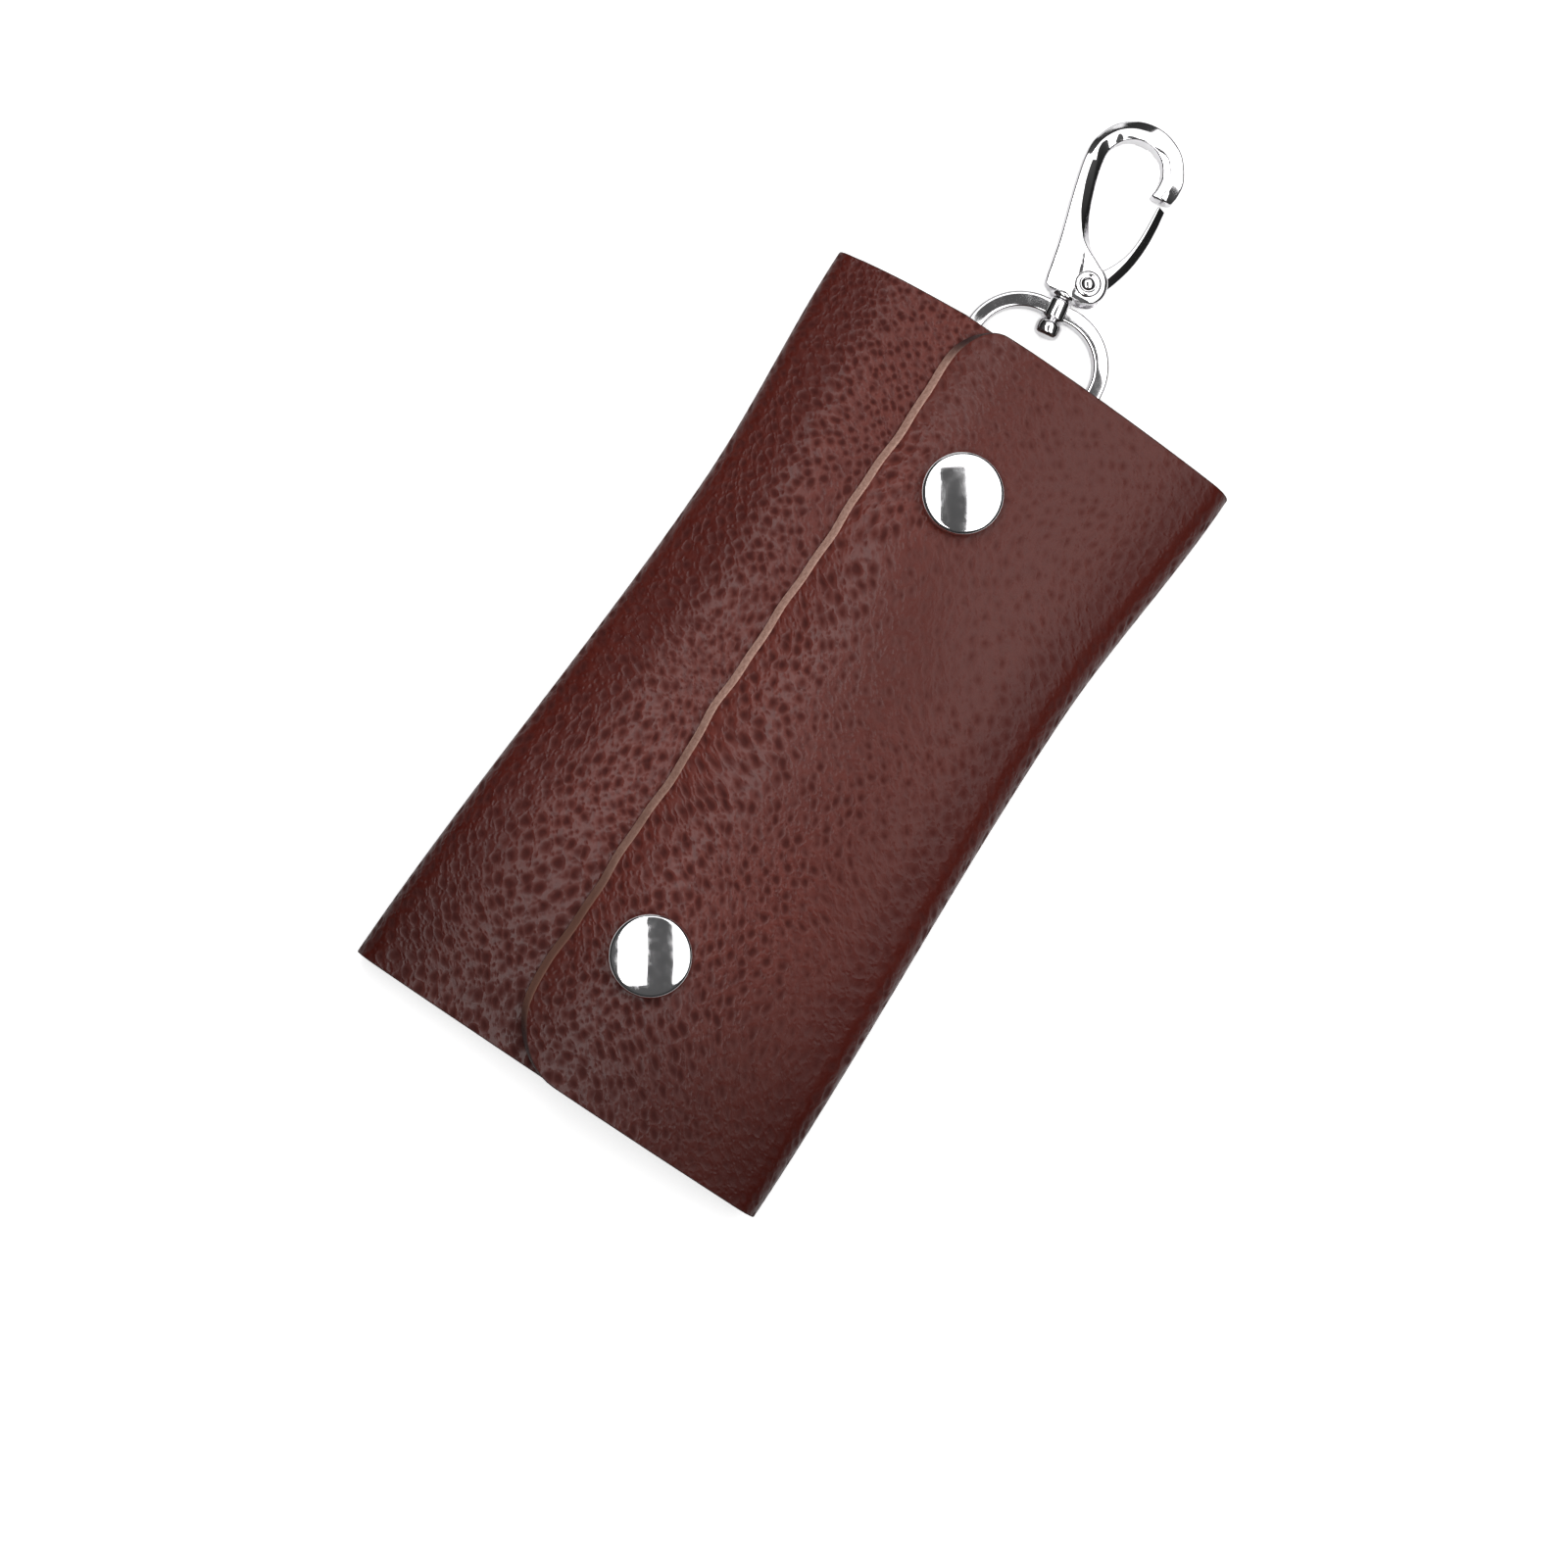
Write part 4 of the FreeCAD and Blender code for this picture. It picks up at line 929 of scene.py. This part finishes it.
tab = {
    "x": 0.8, "y": 49.0, "yaw": 8.5, "half": 6.0, "thick": 1.2, "low": 1.4, "reach": 8.5, "barZ": 3.86,
    "loop": 1.86, "leave": (0.8, 0.12), "slope": [(6.0, 4.75), 3.7, 0.12], "lapEnd": 2.6, "square": 7.0,
    "pore": (0.05, 0.3, 0.6, 0.0), "poreRed": (0.03, 0.008, 0.006), "dark": (0.075, 0.026, 0.021),
    "light": (0.13, 0.05, 0.042), "rubbed": (0.3, 0.7, 0.45, 0.6), "bump": (0.5, 0.0001),
}


def tabStrap():
    # a strap carried along its middle line: out under the bar, round it, down the slope and back over itself
    t, r, reach, barZ = tab["thick"], tab["loop"], tab["reach"], tab["barZ"]
    low, high = tab["low"] + t / 2, tab["low"] + 1.5 * t
    start = -tab["half"] * np.cos(np.linspace(0, quarterTurn, 16))
    a = np.linspace(-quarterTurn, quarterTurn, 26)
    back, sag = tab["leave"]
    halfWay, footX, footRise = tab["slope"]
    slope = [(reach - back, barZ + r - sag), halfWay, (footX, high + footRise), (tab["lapEnd"], high)]
    under, lap = np.linspace(0, reach, 14)[1:-1], np.linspace(tab["lapEnd"], 0, 6)[1:-1]
    path = join([
        pairs(start, low),
        pairs(under, low),
        pairs(reach + r * np.cos(a), barZ + r * np.sin(a)),
        through(slope, 20),
        pairs(lap, high),
        pairs(start[::-1], high)])
    along = unitAlong(path)
    normal = pairs(-along[:, 1], along[:, 0])
    tip = np.sqrt(np.maximum(tab["half"] ** 2 - path[:, 0] ** 2, 0))
    wide = np.where(path[:, 0] < 0, tip, tab["half"])
    q, z = roundBox(56, tab["square"])
    flat = path[:, None, :] + normal[:, None, :] * (z * t / 2)[None, :, None]
    x = q[None, :] * wide[:, None]
    local = join([x[..., None], flat], axis=-1)
    c, s = math.cos(math.radians(tab["yaw"])), math.sin(math.radians(tab["yaw"]))
    run = float(np.linalg.norm(np.diff(path, axis=0), axis=1).sum())
    place = makePlace((tab["x"], tab["y"], 0), (c, s, 0), (-s, c, 0))
    return grid(placeIn(local, place), around=True), run


def tabFinish():
    # smooth strap leather in a cloudy red-brown, with fine dark pores
    finish, tree = newFinish("strapLeather")
    where = add(tree, "TexCoord").outputs["Object"]
    pore = cells(where, "3D", Scale=1500.0)[0]
    cloud = noise(where, "3D", 190.0, 5.0)
    tone = mix(remap(cloud, 0.3, 0.7), tab["dark"], tab["light"])
    tone = mix(remap(pore, *tab["pore"]), tone, tab["poreRed"])
    return dress(finish, {"Base Color": tone, "Roughness": remap(cloud, *tab["rubbed"]),
                          "Normal": bump(pore, *tab["bump"])})


strapGrid, strapRun = tabStrap()
strap = makePiece("ringStrap", [strapGrid], [tabFinish()], 60.0)
settle(strap, "ring_tab", "ring_tab")
print("strap: flat", 2 * tab["half"], "by", round(strapRun, 1), "mm")


# Rivets

rivets = {
    # radius and height of the front head, radius of the shank
    "left_plate_rivet": (2.6, 0.8, 1.3), "right_plate_rivet": (2.6, 0.8, 1.3), "tab_rivet": (3.2, 1.1, 1.5),
}
rivetShape = {"domeTurn": 1.35, "domeWide": 0.97, "domeFall": 0.62, "domePower": 2.4, "rimFall": 0.8,
              "back": 2.8, "backHead": 0.45, "chamfer": 0.1, "backChamfer": 0.08}


def rivetProfile(r, head, shank, low, high):
    # domed front head, shank, and a flat back head let into the hide
    q = np.linspace(0, 1, 9)
    turn, b, e = rivetShape["domeTurn"], rivetShape["back"], rivetShape["chamfer"]
    dome = pairs(r * np.sin(q * turn) / math.sin(turn) * rivetShape["domeWide"],
                 high - (head * rivetShape["domeFall"]) * q ** rivetShape["domePower"])
    front = [[r, high - head * rivetShape["rimFall"]], [r, high - head], [shank, high - head]]
    top = low + rivetShape["backHead"]
    foot = low + rivetShape["backChamfer"]
    back = [[shank, top], [b - e, top], [b, top - e], [b, foot], [b - e, low], [0, low]]
    return join([dome, front, back])


for node, sizes in rivets.items():
    low, high = (np.array(corner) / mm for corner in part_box(node))
    place = makePlace(((low[0] + high[0]) / 2, (low[1] + high[1]) / 2, 0))
    first, *others = node.split("_")
    name = first + "".join(word.title() for word in others) + "Domed"
    rivet = turned(rivetProfile(*sizes, low[2], high[2]), place, 56)
    addMetal(name, [rivet], 50.0, "case_back", "nickel_steel", node)
print("tab and rivets made")


# Key hooks on the plate

keyHook = {
    "reach": 2.7, "limb": 1.3, "plateHigh": -1.15, "low": -27.15, "nose": -21.15, "noseFoot": 1.4,
    "shoulder": -7.55, "half": 0.7, "square": 3.6, "section": 32, "caps": (0.3, 0.15), "rows": 200,
    "shank": 0.9, "collar": 1.5, "shankHead": 1.6, "headLow": 1.06, "headHigh": 1.96,
}


def keyHookBar(place):
    # a cane-shaped bar: up from the nose, round the bottom, up the back limb and over into the broad shoulder
    k, w = keyHook["reach"], keyHook["reach"] - keyHook["limb"]
    mid, nose, foot = keyHook["low"] + k, keyHook["nose"], keyHook["noseFoot"]
    a = np.radians(np.linspace(0, -180, 9))
    outer, inner = ([(r, nose), (r, mid + foot), *pairs(r * np.cos(a), mid + r * np.sin(a))] for r in (k, w))
    s, p = keyHook["shoulder"], keyHook["plateHigh"] - 0.15
    outer += [(-k, -20.5), (-k, -16.0), (-k, -11.5), (-k, -8.2), (-k, -5.6), (-2.45, -3.3), (-1.5, p - 0.55),
              (0, p), (1.5, p - 0.55), (2.45, -3.3), (k, -5.6), (k, -8.0)]
    inner += [(-w, -20.5), (-w, -16.0), (-w, -11.5), (-w, -9.4), (-1.2, s - 0.9), (-0.85, s - 0.3),
              (-0.45, s - 0.06), (0, s), (0.45, s - 0.06), (0.85, s - 0.3), (1.2, s - 0.8), (w, -8.5)]
    return barBetween((outer, inner), keyHook, place)


def keyHookStem():
    # collar below the plate, shank through it and a peened head above
    c, s, r = keyHook["collar"], keyHook["shank"], keyHook["shankHead"]
    top = keyHook["plateHigh"] + 0.55
    low, high = keyHook["headLow"], keyHook["headHigh"]
    return np.array([[0, top - 1.9], [s, top - 1.9], [s, top - 1.0], [c - 0.25, top - 1.0], [c, top - 0.8],
                     [c, top - 0.2], [c - 0.25, top], [s, top], [s, low], [r - 0.2, low], [r, low + 0.2],
                     [r, high - 0.45], [r - 0.3, high - 0.15], [r * 0.4, high], [0, high]])


keyGate = {"x": 0.95, "leaf": 0.3, "half": 0.55, "low": -22.95, "bow": 0.10, "square": 4.0, "points": 7,
           "section": 24, "caps": (0.2, 0.25), "rows": 60, "eyeY": -5.94, "eye": (0.9, 0.74, 0.12)}


def keyGateLeaf(place):
    # a thin spring leaf, bowed by half a sine wave, from its eye in the shoulder down inside the nose
    y = np.linspace(keyGate["eyeY"], keyGate["low"], keyGate["points"])
    bow = keyGate["x"] + keyGate["bow"] * np.sin(np.linspace(0, math.pi, keyGate["points"]))
    return barBetween([pairs(bow + side, y) for side in (keyGate["leaf"], -keyGate["leaf"])], keyGate, place)


for number in range(1, 7):
    at = np.array(joints[f"key_hook_{number}_spin"]["pos_m"]) / mm
    place = makePlace(at)
    stem = turned(keyHookStem(), makePlace(at, (1, 0, 0), (0, 0, -1), (0, 1, 0)), 40)
    eye = turned(hubProfile(*keyGate["eye"]), makePlace(at + [keyGate["x"], keyGate["eyeY"], 0]), 32)
    for name, grids, sharp, node in (("Bent", [keyHookBar(place), stem], 50.0, f"key_hook_{number}"),
                                     ("Leaf", [keyGateLeaf(place), eye], 38.0, f"key_hook_gate_{number}")):
        addMetal(f"keyHook{number}{name}", grids, sharp, node, "nickel_steel", node)

kept = ["key_plate", "gate_spring"]
for part in ("socket", "spring", "stud", "post"):
    kept += [f"upper_snap_{part}", f"lower_snap_{part}"]
for name in kept:
    for slot in frame["nodes"][name].material_slots:
        slot.material = plating["nickel_steel"]
print("key hooks made,", len(kept), "pressings kept from the frame")


# Camera, floor and light

view = {
    "place": (-18.7809, -33.5274, 453.8778), "lens": 71.5213, "sensor": 36.0, "clip": (0.01, 20.0),
    "right": (0.8263167, 0.5578823, 0.0715631), "up": (-0.5603637, 0.8275056, 0.0193991),
    "back": (-0.0483964, -0.0561312, 0.9972474),
}
camera = addObject("camera", bpy.data.cameras.new("camera"))
camera.data.lens, camera.data.sensor_width = view["lens"], view["sensor"]
camera.data.clip_start, camera.data.clip_end = view["clip"]
axes = Matrix((view["right"], view["up"], view["back"])).transposed().to_4x4()
camera.matrix_world = Matrix.Translation([v * mm for v in view["place"]]) @ axes
scene.camera = camera

studio = {
    # lean to the right, width, length, shift along the picture's upright, watts
    "boxes": {"left": (-10.0, 0.108, 0.405, 0.0475, 0.72), "right": (30.5, 0.163, 0.405, 0.0475, 0.52),
              "leftEnd": (-10.0, 0.108, 0.14, 0.32, 0.07), "rightEnd": (30.5, 0.163, 0.14, 0.32, 0.105),
              "arch": (8.0, 0.107, 0.19, 0.295, 0.10)},
    "boxAway": 0.34, "back": {"lean": 75.0, "away": 0.6, "wide": 0.10, "long": 0.35, "watts": 0.12},
    "floorDrop": 0.0001, "floorHalf": 3.0, "paper": ((0.78, 0.78, 0.78), (0.82, 0.82, 0.82)),
    "paperLit": (0.6, 0.6, 0.6), "mirrored": 0.15, "glow": (0.17, 0.45, 0.62, 1.0),
    "room": (0.2, 1.0, 0.015, 0.095),
}
flatRight = np.array([view["right"][0], view["right"][1], 0])
flatRight /= np.linalg.norm(flatRight)
flatUp = np.array([-flatRight[1], flatRight[0], 0])


def softbox(name, heading, lean, away, wide, long, watts, shift=0.0):
    # an area lamp that leans away from straight above by an angle, and looks back at the case
    lean = math.radians(lean)
    out = heading * math.sin(lean) + np.array([0, 0, 1]) * math.cos(lean)
    side = np.cross(out, heading)
    side /= np.linalg.norm(side)
    lamp = bpy.data.lights.new(name, "AREA")
    lamp.shape, lamp.size, lamp.size_y, lamp.energy = "RECTANGLE", long, wide, watts
    thing = addObject(name, lamp)
    turn = Matrix((side, np.cross(out, side), out)).transposed().to_4x4()
    thing.matrix_world = Matrix.Translation(flatUp * shift + out * away) @ turn
    thing.visible_camera = False


for name, (lean, wide, long, shift, watts) in studio["boxes"].items():
    softbox(name + "Softbox", flatRight, lean, studio["boxAway"], wide, long, watts, shift)
softbox("backSoftbox", flatUp, **studio["back"])


def straightRays(path):
    # 1 for rays that come straight from the camera, also through a clear surface
    return most(path.outputs["Is Camera Ray"], path.outputs["Is Transmission Ray"])


def floorFinish():
    # pale paper sweep that shows itself white, and keeps a soft shadow; plain white beyond the lamps' pool
    finish, tree = newFinish("paleFloor")
    path = add(tree, "LightPath")
    where = add(tree, "TexCoord").outputs["Object"]
    paper = mix(noise(where, "3D", 300.0, 2.0), *studio["paper"])
    paper = mix(path.outputs["Is Diffuse Ray"], paper, studio["paperLit"])
    away = feed(where, "VectorMath", {"operation": "LENGTH"})["Value"]
    seen = both(straightRays(path), remap(away, *studio["glow"]))
    shone = both(path.outputs["Is Glossy Ray"], studio["mirrored"])
    return dress(finish, {"Base Color": paper, "Roughness": 0.9, "Specular IOR Level": 0.0,
                          "Emission Color": (1, 1, 1, 1), "Emission Strength": most(seen, shone)})


wide, drop = studio["floorHalf"], -studio["floorDrop"]
corners = [(-wide, -wide, drop), (wide, -wide, drop), (wide, wide, drop), (-wide, wide, drop)]
floorMesh = bpy.data.meshes.new("floor")
floorMesh.from_pydata(corners, [], [(0, 1, 2, 3)])
floorMesh.materials.append(floorFinish())
floor = addObject("floor", floorMesh)

world = bpy.data.worlds.new("studioWorld")
scene.world = world
world.use_nodes = True
tree = world.node_tree
backdrop = tree.nodes["Background"]
height = feed(add(tree, "TexCoord").outputs["Generated"], "SeparateXYZ")[2]
room = remap(height, *studio["room"])  # darker towards the horizon
seen = straightRays(add(tree, "LightPath"))
fill(backdrop.inputs["Strength"], most(seen, room))
fill(backdrop.inputs["Color"], (1, 1, 1, 1))

scene.view_settings.view_transform = "Standard"
print("camera, floor and light set")
